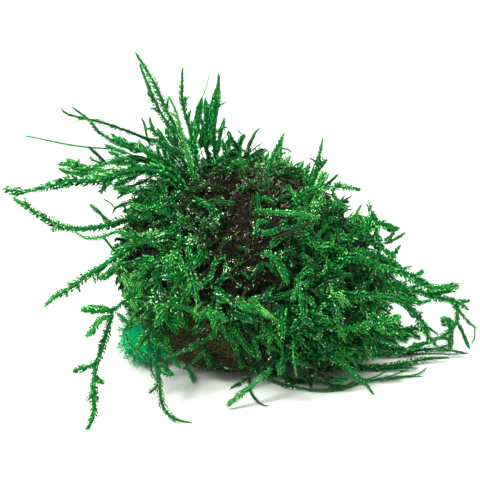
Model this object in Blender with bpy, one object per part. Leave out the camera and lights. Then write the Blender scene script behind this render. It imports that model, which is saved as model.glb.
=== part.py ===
"""An aquarium moss ball with a shaggy coat and long feathery shoots.

A ball of plant fibre stands on a small flat spot. A tangled coat of moss covers it except at the
lower front and underneath, a tuft of fibre wadding sticks out at the lower left, and long shoots
of moss reach out in every direction, some of them down to the surface the ball stands on.

Sizes are millimetres here and metres in the scene. +Z is up and +Y points away from the front.
The origin is the middle of the ball's flat spot.
"""

import math

import bmesh
import bpy
import numpy as np
from mathutils import Matrix, Vector, noise
from mathutils.bvhtree import BVHTree

MM = 0.001

# The fibre ball
CORE_RADIUS = 25.0
FLAT_SPOT_RADIUS = 11.0
CORE_MIDDLE = Vector((0, 0, math.sqrt(CORE_RADIUS**2 - FLAT_SPOT_RADIUS**2)))
CORE_LUMPS = 0.5
CORE_LUMP_SIZE = 9.0
CORE_CALM_HEIGHT = 8.0
CORE_AROUND = 26
CORE_RINGS = 15

# The moss coat: its outer radius from the ball's middle, and the bulge of the drooping side
MAT_RADIUS = 29.9
MAT_LUMPS = 1.1
MAT_LUMP_SIZE = 7.0
MAT_LOWEST = 2.0
BULGE = 9.5
BULGE_TOWARDS = Vector((0.93, -0.12, -0.3)).normalized()
BULGE_SPREAD = math.radians(40)
UNDER_RADIUS = 22.5
UNDER_HEIGHT = 3.0
EDGE_SOFTNESS = math.radians(7)
# How low the coat hangs, as a latitude on the ball in degrees, at compass angles from +X
EDGE_ANGLES = (0, 45, 90, 135, 180, 210, 240, 270, 315, 360)
EDGE_LATITUDES = (-42, -38, -36, -34, -27, -19, -23, -29, -35, -42)
EDGE_RAGGED = 5.0
EDGE_LUMP_SIZE = 0.2

# The fibre wadding, a lump squeezed under the ball's overhang
WADDING_MIDDLE = Vector((-22.5, -3.5, 6.3))
WADDING_HALF_SIZE = Vector((7.2, 8.7, 6.2))
WADDING_TURN = math.radians(-24)
WADDING_LUMPS = 0.12
WADDING_LUMP_SIZE = 0.4
WADDING_ROOM = 0.2

# Room left between neighbours, and how close to the surface a piece lies
GAP = 0.36
FLOOR_GAP = 0.1
FLOOR_REST = 0.8

# Routes are read off the ball's front view, which looks down on it by VIEW_TILT from
# VIEW_DISTANCE in front of VIEW_AIM
VIEW_TILT = math.radians(20)
VIEW_DISTANCE = 500.0
VIEW_AIM = Vector((1.3, 0, 31.5))
VIEW_AIM_UP = 29.0
FLOOR = None

# How finely a shoot's solid follows its route, and how deep in the coat its route starts
STEP = 3.4
FINE_STEP = 0.7
THINNED = 3
SIDES = 5
ROOT_DEPTH = 27.0
BLUNT_SHOOT = "front_stub"

# A shoot's solid against its leafy width: how full it is, its share at the root, how soon it
# swells to all of it, and how much it loses towards the tip
FULLNESS = 1.15
ROOT_SHARE = 0.45
SWELL_LENGTH = 0.25
TIP_LOSS = 0.72

# A side twig leans off its shoot at least this much, and is this thick at its root and tip
TWIG_LEAN = 0.35
TWIG_START = 0.15
TWIG_RADII = (0.5, 0.1)
TWIG_REST = 0.2

# Each long shoot: its leafy width, its route from root to tip and the tips of its side twigs.
# A point is how far across, how far up the view and how far towards the viewer; FLOOR in the
# last place means that the point lies on the surface.
SHOOTS = {
    "top_tall": (1.7, [(-11.5, 50, -6), (-14.8, 57.2, -4), (-17.5, 62.2, -3), (-19.5, 67, -2),
                       (-22.5, 72.2, -1), (-25.2, 76.5, 0)], [(-16.2, 65, -3)]),
    "top_tall_fork": (1.5, [(-13.6, 50, 1), (-15.4, 55.8, 2), (-18, 59.8, 3), (-20, 63.8, 4),
                            (-21.6, 67.6, 4.5), (-23, 71, 5), (-24, 73.6, 5)],
                      [(-22.2, 65.8, 5), (-21.4, 62, 4)]),
    "top_second": (1.6, [(-9.5, 48, 2), (-11, 56, 2), (-12.5, 61, 3), (-13.2, 64.5, 4),
                         (-13.2, 68.2, 5), (-13, 72.5, 6)], [(-11.3, 65, 4)]),
    "top_pale": (1.4, [(-10.5, 46, 8), (-13.3, 56, 10), (-14.9, 61.5, 11), (-16.5, 65.2, 12)],
                 [(-16.6, 61, 11)]),
    "top_hair": (1.1, [(-8, 50, -8), (-10.2, 57.2, -9), (-9.5, 61.5, -9), (-8.2, 64.5, -9),
                       (-7, 67.5, -8), (-6.2, 71.8, -8)], []),
    "top_frond": (2.6, [(-5, 50, 0), (-5.2, 56.5, 1), (-5, 61, 2), (-4.4, 66, 3),
                        (-4, 70.8, 4)], [(-2, 63.5, 2), (-1.5, 57.3, 1), (-7, 63.2, 2)]),
    "top_left": (1.5, [(-16, 46, -1), (-18.6, 54, 0), (-20.5, 56.8, 1), (-21.4, 60, 2)],
                 [(-22.4, 57, 1)]),
    "top_right": (1.6, [(8, 45, 6), (9.8, 50.5, 7), (11, 52.8, 8), (12.5, 56, 9)],
                  [(14.5, 50.8, 8)]),
    "top_right_broad": (2.2, [(17.5, 39.5, 4), (20, 44.5, 4), (21, 48.8, 5), (22, 54.8, 5)],
                        [(23.4, 49, 5), (23.6, 45, 4), (18.6, 49.5, 5)]),
    "right_high": (1.5, [(15, 38.5, 12), (18.5, 41.5, 13), (22.5, 42.2, 13), (28, 42.2, 13),
                         (31.8, 41.5, 12)], [(26.5, 43.8, 13)]),
    "right_broad": (2.0, [(27, 28, 10), (32, 31.2, 11), (35.8, 33.2, 12), (41.2, 31.8, 12)],
                    [(34.6, 36, 12), (33.2, 39, 10)]),
    "right_middle": (1.9, [(34, 23, -6), (37.2, 23.6, -5), (39.2, 24.8, -4), (41.5, 27.8, -3)],
                     [(40.8, 22.4, -4)]),
    "right_long": (2.3, [(27, 24.5, 18), (34.2, 23.8, 22), (38, 21.8, 24), (43.8, 19.8, 25),
                         (48.2, 17.4, 25), (52.2, 17.2, 25), (56.2, 17.8, 25)],
                   [(43.9, 22.4, 25), (47.6, 21.2, 25)]),
    "right_longest": (1.8, [(33, 17, 6), (39, 17, 6), (45.2, 16.5, 6), (50.2, 14.8, 6),
                            (54.8, 13.8, 5), (59.2, 13.8, 4)], [(47, 19, 6), (57.6, 12, 5)]),
    "right_droop": (1.8, [(27.5, 15, 22), (33.8, 14.8, 26), (41, 14, 28), (45.8, 9.4, 27),
                          (48.4, 5, 24), (51.6, 1, 20)], [(38.8, 11, 29)]),
    "right_droop_inner": (1.5, [(34, 14, 12), (41, 13.6, 14), (44.8, 11, 15.5),
                                (47.4, 8, 16), (51, 5.2, 16)], [(47.2, 10.8, 16)]),
    "right_low": (1.7, [(27, 7, 24), (33.8, 7.6, 29), (38.8, 8.2, 32), (41.6, 9.8, 33)],
                  [(39.6, 5.2, 32), (37, 11, 31)]),
    "floor_right_long": (2.0, [(15, 1, FLOOR), (31.8, 0.8, FLOOR), (39.5, 0.6, FLOOR),
                               (50.2, 1.8, FLOOR), (58.8, 0.5, FLOOR)],
                         [(45, 3.4, -6), (54, 3.2, -5)]),
    "floor_right_short": (1.8, [(24, -2, 10), (37.5, -2.6, FLOOR), (47.2, -0.8, FLOOR),
                                (54, -0.4, FLOOR)], []),
    "floor_wire": (1.0, [(12.5, 5.5, 26), (12.2, -1.5, 26), (13.2, -6, FLOOR),
                         (16.5, -8, FLOOR), (22, -8.6, FLOOR), (27.2, -8, FLOOR),
                         (31.6, -6.5, FLOOR), (39.5, -5.4, FLOOR), (45.8, -4.5, FLOOR),
                         (48.2, -2.6, FLOOR)],
                   [(47.6, -5.2, 20), (43.5, -3.2, 20), (38, -3.6, 22)]),
    "floor_right_front": (1.3, [(23, 2, 22), (27, -1.6, 26), (31.8, -6, 28.5),
                                (35, -10, FLOOR)], []),
    "floor_back_right": (2.4, [(22, 5, FLOOR), (33.8, 5, FLOOR), (40, 6.2, FLOOR),
                               (45, 7.2, FLOOR)],
                         [(40.8, 8.8, -18), (46.5, 4.2, -10), (43, 3.4, -8)]),
    "left_high": (1.3, [(-13.5, 48, -9), (-18.5, 52.6, -5), (-24, 55.1, -1.5),
                        (-31.2, 57.8, 2), (-36.5, 59.2, 3), (-42, 60.5, 5), (-43.7, 62.4, 6)],
                  [(-39.6, 58.8, 3.5)]),
    "left_high_thin": (1.2, [(-16, 47.5, 6), (-21.5, 50.6, 8), (-27.5, 52.7, 9.5),
                             (-31.2, 54.2, 10), (-34.2, 56.2, 11), (-36.2, 58.8, 12),
                             (-38.8, 60.8, 13), (-41, 62.5, 14)], [(-31, 56, 9)]),
    "left_hair": (0.7, [(-20, 47, -11), (-27, 50.8, -10), (-32.8, 51.9, -10),
                        (-37.2, 52.2, -10), (-43.5, 53.2, -11), (-49.5, 54.5, -12),
                        (-53.5, 55.2, -12)], []),
    "left_cluster": (2.5, [(-17, 46, 4), (-22.5, 49, 0), (-27.5, 49.4, -1), (-32, 48.2, -2),
                           (-37.2, 46.7, -1), (-40.5, 47.2, 0), (-42.2, 49.8, 1)],
                     [(-44.6, 47.9, 1), (-40.8, 45.2, 0), (-36.4, 50.2, -1), (-38.6, 49.6, 0),
                      (-34.2, 45.2, 0)]),
    "left_thick": (2.3, [(-15, 44.5, 10), (-21, 46.6, 9.5), (-25.5, 46.6, 10.5),
                         (-29.5, 45.4, 12), (-34.2, 43.8, 13), (-41.5, 43.8, 15),
                         (-46.2, 42.5, 16), (-52, 41.2, 17), (-56.8, 40.2, 18)],
                   [(-58.2, 42, 18), (-44.5, 41.2, 15), (-33.4, 40.4, 13)]),
    "left_arc": (1.9, [(-24.5, 34.5, 3), (-28.2, 34, 4), (-32, 32.6, 5), (-35.8, 32, 6),
                       (-40.5, 31.8, 7), (-44.2, 32.8, 8), (-48, 34.8, 9), (-52, 37.2, 10),
                       (-56, 39.8, 11)], [(-52.6, 39.6, 10), (-46.2, 31.4, 8)]),
    "left_low_strand": (1.3, [(-24.5, 29, 12), (-29.2, 31, 13), (-33.5, 29.7, 13),
                              (-37.2, 29.5, 13), (-40.2, 31.2, 13)], []),
    "left_lower": (1.8, [(-25, 27.6, 12), (-29, 25.4, 16), (-32, 23.2, 18), (-34.2, 21.8, 20),
                         (-37, 20.2, 22), (-39.8, 18, 25), (-42.2, 16.5, 27),
                         (-45.2, 14.8, 29), (-47.8, 12.2, 30)], [(-34.2, 18.4, 20)]),
    "leg_upper": (1.4, [(-20.8, 19, 20), (-24.2, 16.5, 25), (-27.8, 13.6, 30),
                        (-30.4, 11.2, 33)], [(-27.2, 17.2, 29)]),
    "over_wadding": (1.0, [(-9.5, 3, 27), (-16.8, -0.2, 28), (-22.5, 0.4, 26),
                           (-26, 2.5, 23), (-27.6, 6, 21)], []),
    "front_left": (1.8, [(-17.5, 6, 22), (-20.4, 0, 28), (-19.9, -5, 33), (-19, -8, 36),
                         (-18.2, -12, 38), (-16.2, -15, FLOOR), (-13.5, -16.2, FLOOR),
                         (-10.2, -16.8, FLOOR)], [(-15.2, -4.8, 33), (-21.6, -9.2, 36)]),
    "front_stub": (1.9, [(10.2, 1, 25), (8.5, -3.6, 29), (3, -8.4, 32), (-2.2, -12.6, FLOOR)],
                   []),
    "front_dark": (1.3, [(6.4, -1, 19), (2.8, -5.6, 22), (-1.2, -8.2, 24.5)], []),
    "front_root": (0.8, [(3.5, -5, 15), (3.8, -8.5, FLOOR), (5, -10.6, FLOOR),
                         (7, -12.2, FLOOR), (8.8, -12.4, FLOOR)], []),
    "front_bright": (1.3, [(6, 36, 17), (14.2, 35.6, 22), (21.2, 34.6, 21)], []),
}

# The parts of a branching shoot past its forks, each from a point of the shoot that bears it
FORKS = {
    "right_fork_down": (1.5, [(54.4, 13.9, 5), (55.6, 11.2, 6), (55.4, 8.6, 7.5),
                              (53.9, 6.4, 9), (51.3, 4.7, 10), (48.2, 3.2, 11)],
                        [(51.6, 9.3, 8), (54.2, 1.8, 9)]),
    "right_fork_out": (1.3, [(54.8, 13.8, 5), (56.8, 10.4, 4), (58.5, 8.6, 4),
                             (60.5, 6.8, 4)], [(58.9, 2.8, 4)]),
    "leg": (1.5, [(-30.4, 11.2, 33), (-31.4, 8, 34.4), (-33.2, 2.2, 37), (-34.2, -1.2, 39),
                  (-35, -4, 41), (-35.3, -7.8, 44), (-35.2, -11.5, 46), (-35.5, -15.5, 48),
                  (-37.2, -18.8, FLOOR)], [(-33, -7, 43), (-37, -11.4, 46)]),
    "leg_branch_out": (1.4, [(-29.6, 12, 32), (-32, 11.4, 34), (-34.8, 11.3, 35.5),
                             (-38.5, 11.5, 37)], []),
    "leg_branch_down": (1.4, [(-30.9, 10, 33.4), (-33, 9.5, 35.5), (-34.4, 7.8, 37.5),
                              (-35.8, 6, 39.5), (-37.2, 4.8, 41)], []),
    "leg_branch_low": (1.1, [(-34.2, -1.2, 39), (-35.9, -2.4, 40.5), (-37.5, -2.8, 41.5),
                             (-40.5, -3.8, 43)], []),
}

# Shoots at the back, as plain places: right, away from the front, and up
BACK_SHOOTS = {
    "back_high": (1.8, [(4, 26, 38), (6, 34, 38), (9, 42, 35), (10, 49, 29)],
                  [(12.5, 41, 32), (5, 42, 38)]),
    "back_high_left": (1.7, [(-10, 25, 36), (-14, 33, 38), (-17, 41, 36), (-18, 47, 30)],
                       [(-20, 38, 34)]),
    "back_right": (1.8, [(16, 24, 28), (22, 32, 28), (27, 39, 23), (30, 45, 15)],
                   [(22.5, 39, 22)]),
    "back_left": (1.8, [(-20, 22, 27), (-24, 30, 26), (-26, 38, 21), (-26, 45, 12)],
                  [(-21.5, 40, 17)]),
    "back_middle": (1.9, [(0, 28, 22), (-2, 37, 20), (-5, 46, 14), (-7, 52, 6)],
                    [(0, 45, 12), (-9, 43, 19)]),
    "back_floor_right": (1.7, [(9, 26, 14), (14, 36, 11), (18, 43, 6), (21, 50, 1.2)],
                         [(20.5, 39, 6)]),
    "back_floor_left": (1.7, [(-11, 24, 11), (-16, 33, 8), (-18, 40, 4), (-19, 47, 1.1)],
                        [(-13, 40, 3)]),
    "back_low_right": (1.8, [(22, 18, 17), (30, 25, 15), (36, 30, 10), (40, 33, 4)],
                       [(31.5, 30.5, 8)]),
    "back_low_left": (1.4, [(-11, 12, 3), (-19, 24, 2.2), (-22, 32, 1.2), (-23, 40, 1.1)], []),
}

# Short shoots fused to the coat: first those seen from the front, root and tip as for SHOOTS
FRONT_SPINES = [
    ((-8.5, 48, 3), (-7.4, 63, 4)),
    ((-6, 47, 6), (-5.8, 60, 7)),
    ((-14, 46, 2), (-18, 57.5, 3)),
    ((-18, 45, 2), (-31.5, 54, 4)),
    ((-19, 43, 6), (-32, 49.5, 8)),
    ((-17, 47, -4), (-28, 57, -6)),
    ((-23, 42, 5), (-37, 46.5, 6)),
    ((-23, 43, 7), (-31.5, 40.6, 8)),
    ((5, 48, 6), (1, 54.6, 6)),
    ((-11, 46, 0), (-12.5, 57, 0)),
    ((-26, 22.5, 12), (-34, 19.5, 17)),
    ((34, 30, 6), (41, 31, 8)),
    ((34, 27, 6), (41, 24.8, 6)),
    ((38, 14, 18), (47.5, 15.4, 24)),
    ((-25, 12, 26), (-34, 7, 34)),
    ((24, 42, -4), (28, 46, -4)),
    ((-19, 49, -4), (-23.5, 60, -4)),
    ((3.5, 46, 12), (6.5, 57, 12)),
    ((2.5, 44, 18), (8.8, 51.5, 22)),
    ((12.5, 40, 12), (17.5, 48.8, 12)),
    ((20, 37, -2), (26.2, 45.4, -4)),
    ((24, 30, 4), (32.6, 38, 0)),
    ((35, 17, 16), (44.5, 22, 18)),
    ((33, 6, 22), (39, 2.4, 28)),
    ((-26, 42, 4), (-36.5, 52, 6)),
    ((-27, 33, 0), (-36.5, 38, -3)),
    ((-27, 36, 8), (-34, 41, 4)),
    ((-27, 24, 4), (-33.2, 29, 0)),
    ((-25, 18, 10), (-31, 17, 6)),
    ((-14, 15, 28), (-7.8, 9.8, 33)),
    ((4, 13, 29), (11, 8.6, 35)),
    ((11.2, 24, 29), (13.6, 17.6, 35)),
    ((-6, 22, 30), (-11, 17, 35)),
    ((20, 22, 28), (25.5, 17, 33)),
    ((-14, 32, 27), (-20.5, 28, 32)),
    ((1, 33, 28), (-4, 39, 33)),
    ((22, 12, 28), (25, 3, 32)),
    ((12, 12, 30), (15.5, 4.5, 33)),
]
SPREAD_SPINES = 300
SPINE_LENGTHS = (5.0, 9.0)
SPINE_INSET = 0.65
SKIRT_EXTRA = 3.0
SPINE_DRIFT = 1.1
SPINE_DRIFT_SIZE = 11.0
SPINE_LENGTH_SIZE = 5.0
SPINE_EDGE_MARGIN = 0.12
DROOP_RIGHT = Vector((0.25, 0, -0.35))
DROOP_LEFT = Vector((-0.15, 0, -0.05))

# Where a short shoot has room: the face it's drawn from, how upright it is on it, how far it may
# be from its wanted root, how low it comes, its thickness, and how far it keeps off the others
SPINE_FACE_AREA = 4.0
SPINE_LEAN = 0.42
SPINE_WIDEST = 6.0
SPINE_LOWEST = 4.0
SPINE_START = 1.6
SPINE_RADII = (0.8, 0.15)
SPINE_CLEAR = 0.8

# How far the coat's short shoots reach from the middle of the front view, every OUTLINE_STEP
# degrees from the right and over the top
OUTLINE_MIDDLE = (0, 20)
OUTLINE_STEP = 15
OUTLINE_REACH = (40, 39, 35.5, 32.5, 32, 32.5, 33, 34, 35.5, 33, 32.5, 30,
                 28.2, 26.5, 29.5, 30, 27, 25.5, 25, 26.5, 29, 34, 41, 40)
OUTLINE_RAGGED = 2.0
OUTLINE_TRIES = 4


def round_noise(place, size):
    """A smooth random value between about -1 and 1 at a place, with lumps of the given size."""
    return noise.noise(place / size)


def from_view(across, up, near, rest=FLOOR_REST):
    """The place in the object of a point of the front view."""
    tilt_cos = math.cos(VIEW_TILT)
    tilt_sin = math.sin(VIEW_TILT)
    slope = (up - VIEW_AIM_UP) / VIEW_DISTANCE
    if near is FLOOR:
        height = rest - VIEW_AIM.z
        rise = height * tilt_cos - slope * (VIEW_DISTANCE - height * tilt_sin)
        away = rise / (slope * tilt_cos - tilt_sin)
    else:
        away = -near
        height = (slope * (VIEW_DISTANCE + away * tilt_cos) - away * tilt_sin) / (
            tilt_cos + slope * tilt_sin
        )
    distance = VIEW_DISTANCE + away * tilt_cos - height * tilt_sin
    sideways = VIEW_AIM.x + (across - VIEW_AIM.x) / VIEW_DISTANCE * distance
    return Vector((sideways, away, VIEW_AIM.z + height))


def room_to_outline(place):
    """How far inside the outline of the front view a place is."""
    offset = place - VIEW_AIM
    rise = offset.z * math.cos(VIEW_TILT) + offset.y * math.sin(VIEW_TILT)
    nearer = offset.z * math.sin(VIEW_TILT) - offset.y * math.cos(VIEW_TILT)
    scale = VIEW_DISTANCE / (VIEW_DISTANCE - nearer)
    across = VIEW_AIM.x + offset.x * scale - OUTLINE_MIDDLE[0]
    up = VIEW_AIM_UP + rise * scale - OUTLINE_MIDDLE[1]
    turn = math.degrees(math.atan2(up, across)) % 360
    angles = [number * OUTLINE_STEP for number in range(len(OUTLINE_REACH) + 1)]
    reach = np.interp(turn, angles, OUTLINE_REACH + OUTLINE_REACH[:1])
    return float(reach) - math.hypot(across, up)


def smooth_route(points, step):
    """Points about a step apart on a smooth curve through the hand-chosen points."""
    ends = [points[0] * 2 - points[1], *points, points[-1] * 2 - points[-2]]
    dense = []
    for before, start, end, after in zip(ends, ends[1:], ends[2:], ends[3:]):
        for part in range(10):
            t = part / 10
            bend = (
                2 * start
                + (end - before) * t
                + (2 * before - 5 * start + 4 * end - after) * t**2
                + (3 * start - before - 3 * end + after) * t**3
            )
            dense.append(bend / 2)
    dense.append(points[-1])
    travelled = [0.0]
    for start, end in zip(dense, dense[1:]):
        travelled.append(travelled[-1] + (end - start).length)
    count = max(3, round(travelled[-1] / step) + 1)
    wanted = np.linspace(0, travelled[-1], count)
    columns = [np.interp(wanted, travelled, [p[axis] for p in dense]) for axis in range(3)]
    return [Vector(place) for place in zip(*columns)]


def shoot_girth(along, half_width, blunt):
    """The radius of a shoot's solid, thin where it grows out, widest in the middle."""
    if blunt:
        return half_width
    swell = ROOT_SHARE + (1 - ROOT_SHARE) * min(1, along / SWELL_LENGTH)
    return half_width * swell * (1 - TIP_LOSS * along**2)


def core_mesh(grow=0.0):
    """The fibre ball, turned round and flat underneath, or a cutter that is a little larger."""
    bm = bmesh.new()
    bmesh.ops.create_uvsphere(bm, u_segments=CORE_AROUND, v_segments=CORE_RINGS, radius=1)
    for vert in bm.verts:
        outward = vert.co.normalized()
        height = CORE_MIDDLE.z + CORE_RADIUS * outward.z
        calm = min(1, max(0, height / CORE_CALM_HEIGHT))
        lump = CORE_LUMPS * round_noise(outward * CORE_RADIUS, CORE_LUMP_SIZE) * calm
        place = CORE_MIDDLE + outward * (CORE_RADIUS + lump + grow)
        place.z = max(place.z, -grow)
        vert.co = place
    return bm


def edge_latitude(outward):
    """How low the coat hangs in a direction from the ball's middle, in radians."""
    compass = math.degrees(math.atan2(outward.y, outward.x)) % 360
    ragged = EDGE_RAGGED * round_noise(outward, EDGE_LUMP_SIZE)
    return math.radians(float(np.interp(compass, EDGE_ANGLES, EDGE_LATITUDES)) + ragged)


def mat_radius(outward):
    """The coat's outer radius in a direction from the ball's middle."""
    bulge = BULGE * math.exp(-((outward.angle(BULGE_TOWARDS) / BULGE_SPREAD) ** 2))
    full = MAT_RADIUS + bulge + MAT_LUMPS * round_noise(outward * MAT_RADIUS, MAT_LUMP_SIZE)
    under = UNDER_RADIUS
    if outward.z < 0:
        under = min(under, (CORE_MIDDLE.z - UNDER_HEIGHT) / -outward.z)
    latitude = math.asin(max(-1, min(1, outward.z)))
    cover = (latitude - edge_latitude(outward)) / EDGE_SOFTNESS
    cover = min(1, max(0, cover))
    return under + (full - under) * cover * cover * (3 - 2 * cover)


def mat_mesh():
    """The coat's outer form, before the ball is cut out of it."""
    bm = bmesh.new()
    bmesh.ops.create_icosphere(bm, subdivisions=4, radius=1)
    for vert in bm.verts:
        outward = vert.co.normalized()
        vert.co = CORE_MIDDLE + outward * mat_radius(outward)
        vert.co.z = max(vert.co.z, MAT_LOWEST)
    return bm


def wadding_mesh(grow=0.0):
    """The lump of fibre wadding, or a cutter that is a little larger."""
    bm = bmesh.new()
    bmesh.ops.create_icosphere(bm, subdivisions=3, radius=1)
    turn = Matrix.Rotation(WADDING_TURN, 3, "Z")
    for vert in bm.verts:
        outward = vert.co.normalized()
        size = 1 + WADDING_LUMPS * round_noise(outward, WADDING_LUMP_SIZE)
        reach = Vector([half * size + grow for half in WADDING_HALF_SIZE])
        vert.co = WADDING_MIDDLE + turn @ (reach * outward)
        vert.co.z = max(vert.co.z, FLOOR_GAP - grow)
    return bm


class Crowd:
    """What is already placed: solids to keep off, and the rounds of every shoot and spine."""

    def __init__(self, solids):
        self.solids = [BVHTree.FromBMesh(solid) for solid in solids]
        self.rounds = np.empty((0, 4))

    def room(self, place, radius):
        """The room left between a round at a place and everything that is already there."""
        room = math.inf
        for solid in self.solids:
            nearest, normal, _, distance = solid.find_nearest(place)
            inside = (place - nearest).dot(normal) < 0
            room = min(room, -distance if inside else distance)
        if len(self.rounds):
            apart = np.linalg.norm(self.rounds[:, :3] - np.array(place), axis=1)
            room = min(room, float((apart - self.rounds[:, 3]).min()))
        return room - radius

    def add(self, rounds):
        """Keep later pieces off these rounds, each a place and a radius."""
        rows = np.array([(*place, radius) for place, radius in rounds])
        self.rounds = np.vstack([self.rounds, rows])


def rounds_along(start, end, start_radius, end_radius):
    """Rounds that fill a straight taper."""
    count = max(2, round((end - start).length / FINE_STEP))
    parts = [i / (count - 1) for i in range(count)]
    return [
        (start.lerp(end, part), start_radius + (end_radius - start_radius) * part)
        for part in parts
    ]


def rooted(points):
    """A route that starts inside the coat, so that the shoot grows out of it."""
    from_middle = points[0] - CORE_MIDDLE
    if from_middle.length < ROOT_DEPTH:
        return points
    return [CORE_MIDDLE + from_middle.normalized() * ROOT_DEPTH, *points]


def free_part(points, half_width, blunt, crowd):
    """A shoot's route cut short at its root, where it would run into what is already there."""
    fine = smooth_route(points, FINE_STEP)
    last = len(fine) - 1
    first = last
    while first > 0:
        radius = shoot_girth((first - 1) / last, half_width, blunt)
        if crowd.room(fine[first - 1], radius) < GAP:
            break
        first -= 1
    return fine[first:]


def ring_around(bm, middle, ahead, side_way, radius):
    """One ring of a shoot's tube."""
    up_way = ahead.cross(side_way)
    ring = []
    for number in range(SIDES):
        turn = 2 * math.pi * number / SIDES
        spoke = side_way * math.cos(turn) + up_way * math.sin(turn)
        place = middle + spoke * radius
        place.z = max(place.z, FLOOR_GAP)
        ring.append(bm.verts.new(place))
    return ring


def tube_mesh(route, half_width, blunt):
    """A tapered tube along a route, closed at the root and pointed at the tip unless blunt."""
    bm = bmesh.new()
    rings = []
    side_way = None
    last = len(route) - 1
    for number, middle in enumerate(route):
        before = route[max(0, number - 1)]
        after = route[min(last, number + 1)]
        ahead = (after - before).normalized()
        if side_way is None:
            side_way = ahead.orthogonal()
        side_way = (side_way - ahead * side_way.dot(ahead)).normalized()
        if number == last and not blunt:
            middle = middle.copy()
            middle.z = max(middle.z, FLOOR_GAP)
            rings.append([bm.verts.new(middle)])
            continue
        radius = shoot_girth(number / last, half_width, blunt)
        rings.append(ring_around(bm, middle, ahead, side_way, radius))
    bm.faces.new(reversed(rings[0]))
    walls = []
    for ring, following in zip(rings, rings[1:]):
        for number in range(SIDES):
            beside = (number + 1) % SIDES
            if len(following) == 1:
                bm.faces.new((ring[number], ring[beside], following[0]))
                continue
            corners = (ring[number], ring[beside], following[beside], following[number])
            walls.append(bm.faces.new(corners))
    if blunt:
        bm.faces.new(rings[-1])
    bm.normal_update()
    return bm, walls


def pull_twigs(bm, walls, tips, crowd):
    """Side twigs, each pulled out of the wall of the tube that faces it."""
    used = set()
    for tip in tips:
        free = [wall for wall in walls if wall.is_valid and wall not in used]
        leaning = [
            wall for wall in free
            if (tip - wall.calc_center_median()).normalized().dot(wall.normal) > TWIG_LEAN
        ]
        if not leaning:
            continue
        wall = min(leaning, key=lambda face: (face.calc_center_median() - tip).length)
        root = wall.calc_center_median()
        tip = Vector((tip.x, tip.y, max(tip.z, FLOOR_GAP + TWIG_REST)))
        rounds = rounds_along(root.lerp(tip, TWIG_START), tip, *TWIG_RADII)
        if min(crowd.room(place, radius) for place, radius in rounds) < GAP:
            continue
        used.add(wall)
        spread = bmesh.ops.poke(bm, faces=[wall])
        spread["verts"][0].co = tip
        crowd.add(rounds)


def all_shoots():
    """Every long shoot's name, width, route and twigs, in the order they are placed."""
    for group, seen in ((SHOOTS, True), (BACK_SHOOTS, False), (FORKS, True)):
        for name, (width, points, twigs) in group.items():
            width *= FULLNESS
            if seen:
                points = [from_view(*point, rest=width / 2 + FLOOR_GAP) for point in points]
                twigs = [from_view(*twig) for twig in twigs]
            else:
                points = [Vector(point) for point in points]
                twigs = [Vector(twig) for twig in twigs]
            if group is not FORKS:
                points = rooted(points)
            yield name, width / 2, points, twigs


def shoot_meshes(crowd):
    """Every long shoot as a mesh, placed in turn so that each keeps off the ones before it."""
    meshes = {}
    for name, half_width, points, twigs in all_shoots():
        blunt = name == BLUNT_SHOOT
        fine = free_part(points, half_width, blunt, crowd)
        route = smooth_route([fine[0], *fine[2:-2:THINNED], fine[-1]], STEP)
        last = len(fine) - 1
        rounds = [
            (place, shoot_girth(number / last, half_width, blunt))
            for number, place in enumerate(fine)
        ]
        bm, walls = tube_mesh(route, half_width, blunt)
        pull_twigs(bm, walls, twigs, crowd)
        crowd.add(rounds)
        meshes["shoot_" + name] = bm
    return meshes


def even_directions(count):
    """Directions spread evenly over a ball."""
    golden = math.pi * (3 - math.sqrt(5))
    for number in range(count):
        height = 1 - 2 * (number + 0.5) / count
        around = math.sqrt(1 - height * height)
        yield Vector((around * math.cos(golden * number), around * math.sin(golden * number),
                      height))


def spine_list():
    """The root and tip of each short shoot of the coat, the seen ones first."""
    spines = [(from_view(*root), from_view(*tip)) for root, tip in FRONT_SPINES]
    for outward in even_directions(SPREAD_SPINES):
        root = CORE_MIDDLE + outward * mat_radius(outward)
        if outward.z < math.sin(edge_latitude(outward)) + SPINE_EDGE_MARGIN:
            continue
        drift = Vector([
            round_noise(root + shift, SPINE_DRIFT_SIZE)
            for shift in (Vector(), Vector((40, 0, 0)), Vector((0, 40, 0)))
        ])
        droop = DROOP_RIGHT if outward.x > 0.2 else DROOP_LEFT
        way = (outward + drift * SPINE_DRIFT + droop).normalized()
        shortest, longest = SPINE_LENGTHS
        swell = 0.5 + 0.5 * round_noise(root, SPINE_LENGTH_SIZE)
        length = shortest + (longest - shortest) * swell
        length += SKIRT_EXTRA * max(0, outward.dot(BULGE_TOWARDS)) ** 2
        for _ in range(OUTLINE_TRIES):
            if room_to_outline(root + way * length) < -OUTLINE_RAGGED:
                length *= 0.8
        spines.append((root, root + way * length))
    return spines


def pull_spines(bm, crowd):
    """Short shoots drawn out of the coat's own faces, wherever there is room for one."""
    for root, tip in spine_list():
        bm.faces.ensure_lookup_table()
        free = [face for face in bm.faces if face.calc_area() > SPINE_FACE_AREA and not face.tag]
        face = min(free, key=lambda each: (each.calc_center_median() - root).length)
        middle = face.calc_center_median()
        way = tip - middle
        leaning = way.normalized().dot(face.normal) < SPINE_LEAN
        if leaning or (middle - root).length > SPINE_WIDEST:
            continue
        if min(middle.z, tip.z) < SPINE_LOWEST:
            continue
        rounds = rounds_along(middle + way.normalized() * SPINE_START, tip, *SPINE_RADII)
        if min(crowd.room(place, radius) for place, radius in rounds[1:]) < SPINE_CLEAR:
            continue
        for vert in face.verts:
            for neighbour in vert.link_faces:
                neighbour.tag = True
        bmesh.ops.inset_individual(bm, faces=[face], thickness=SPINE_INSET)
        spread = bmesh.ops.poke(bm, faces=[face])
        spread["verts"][0].co = tip
        crowd.add(rounds)


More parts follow.
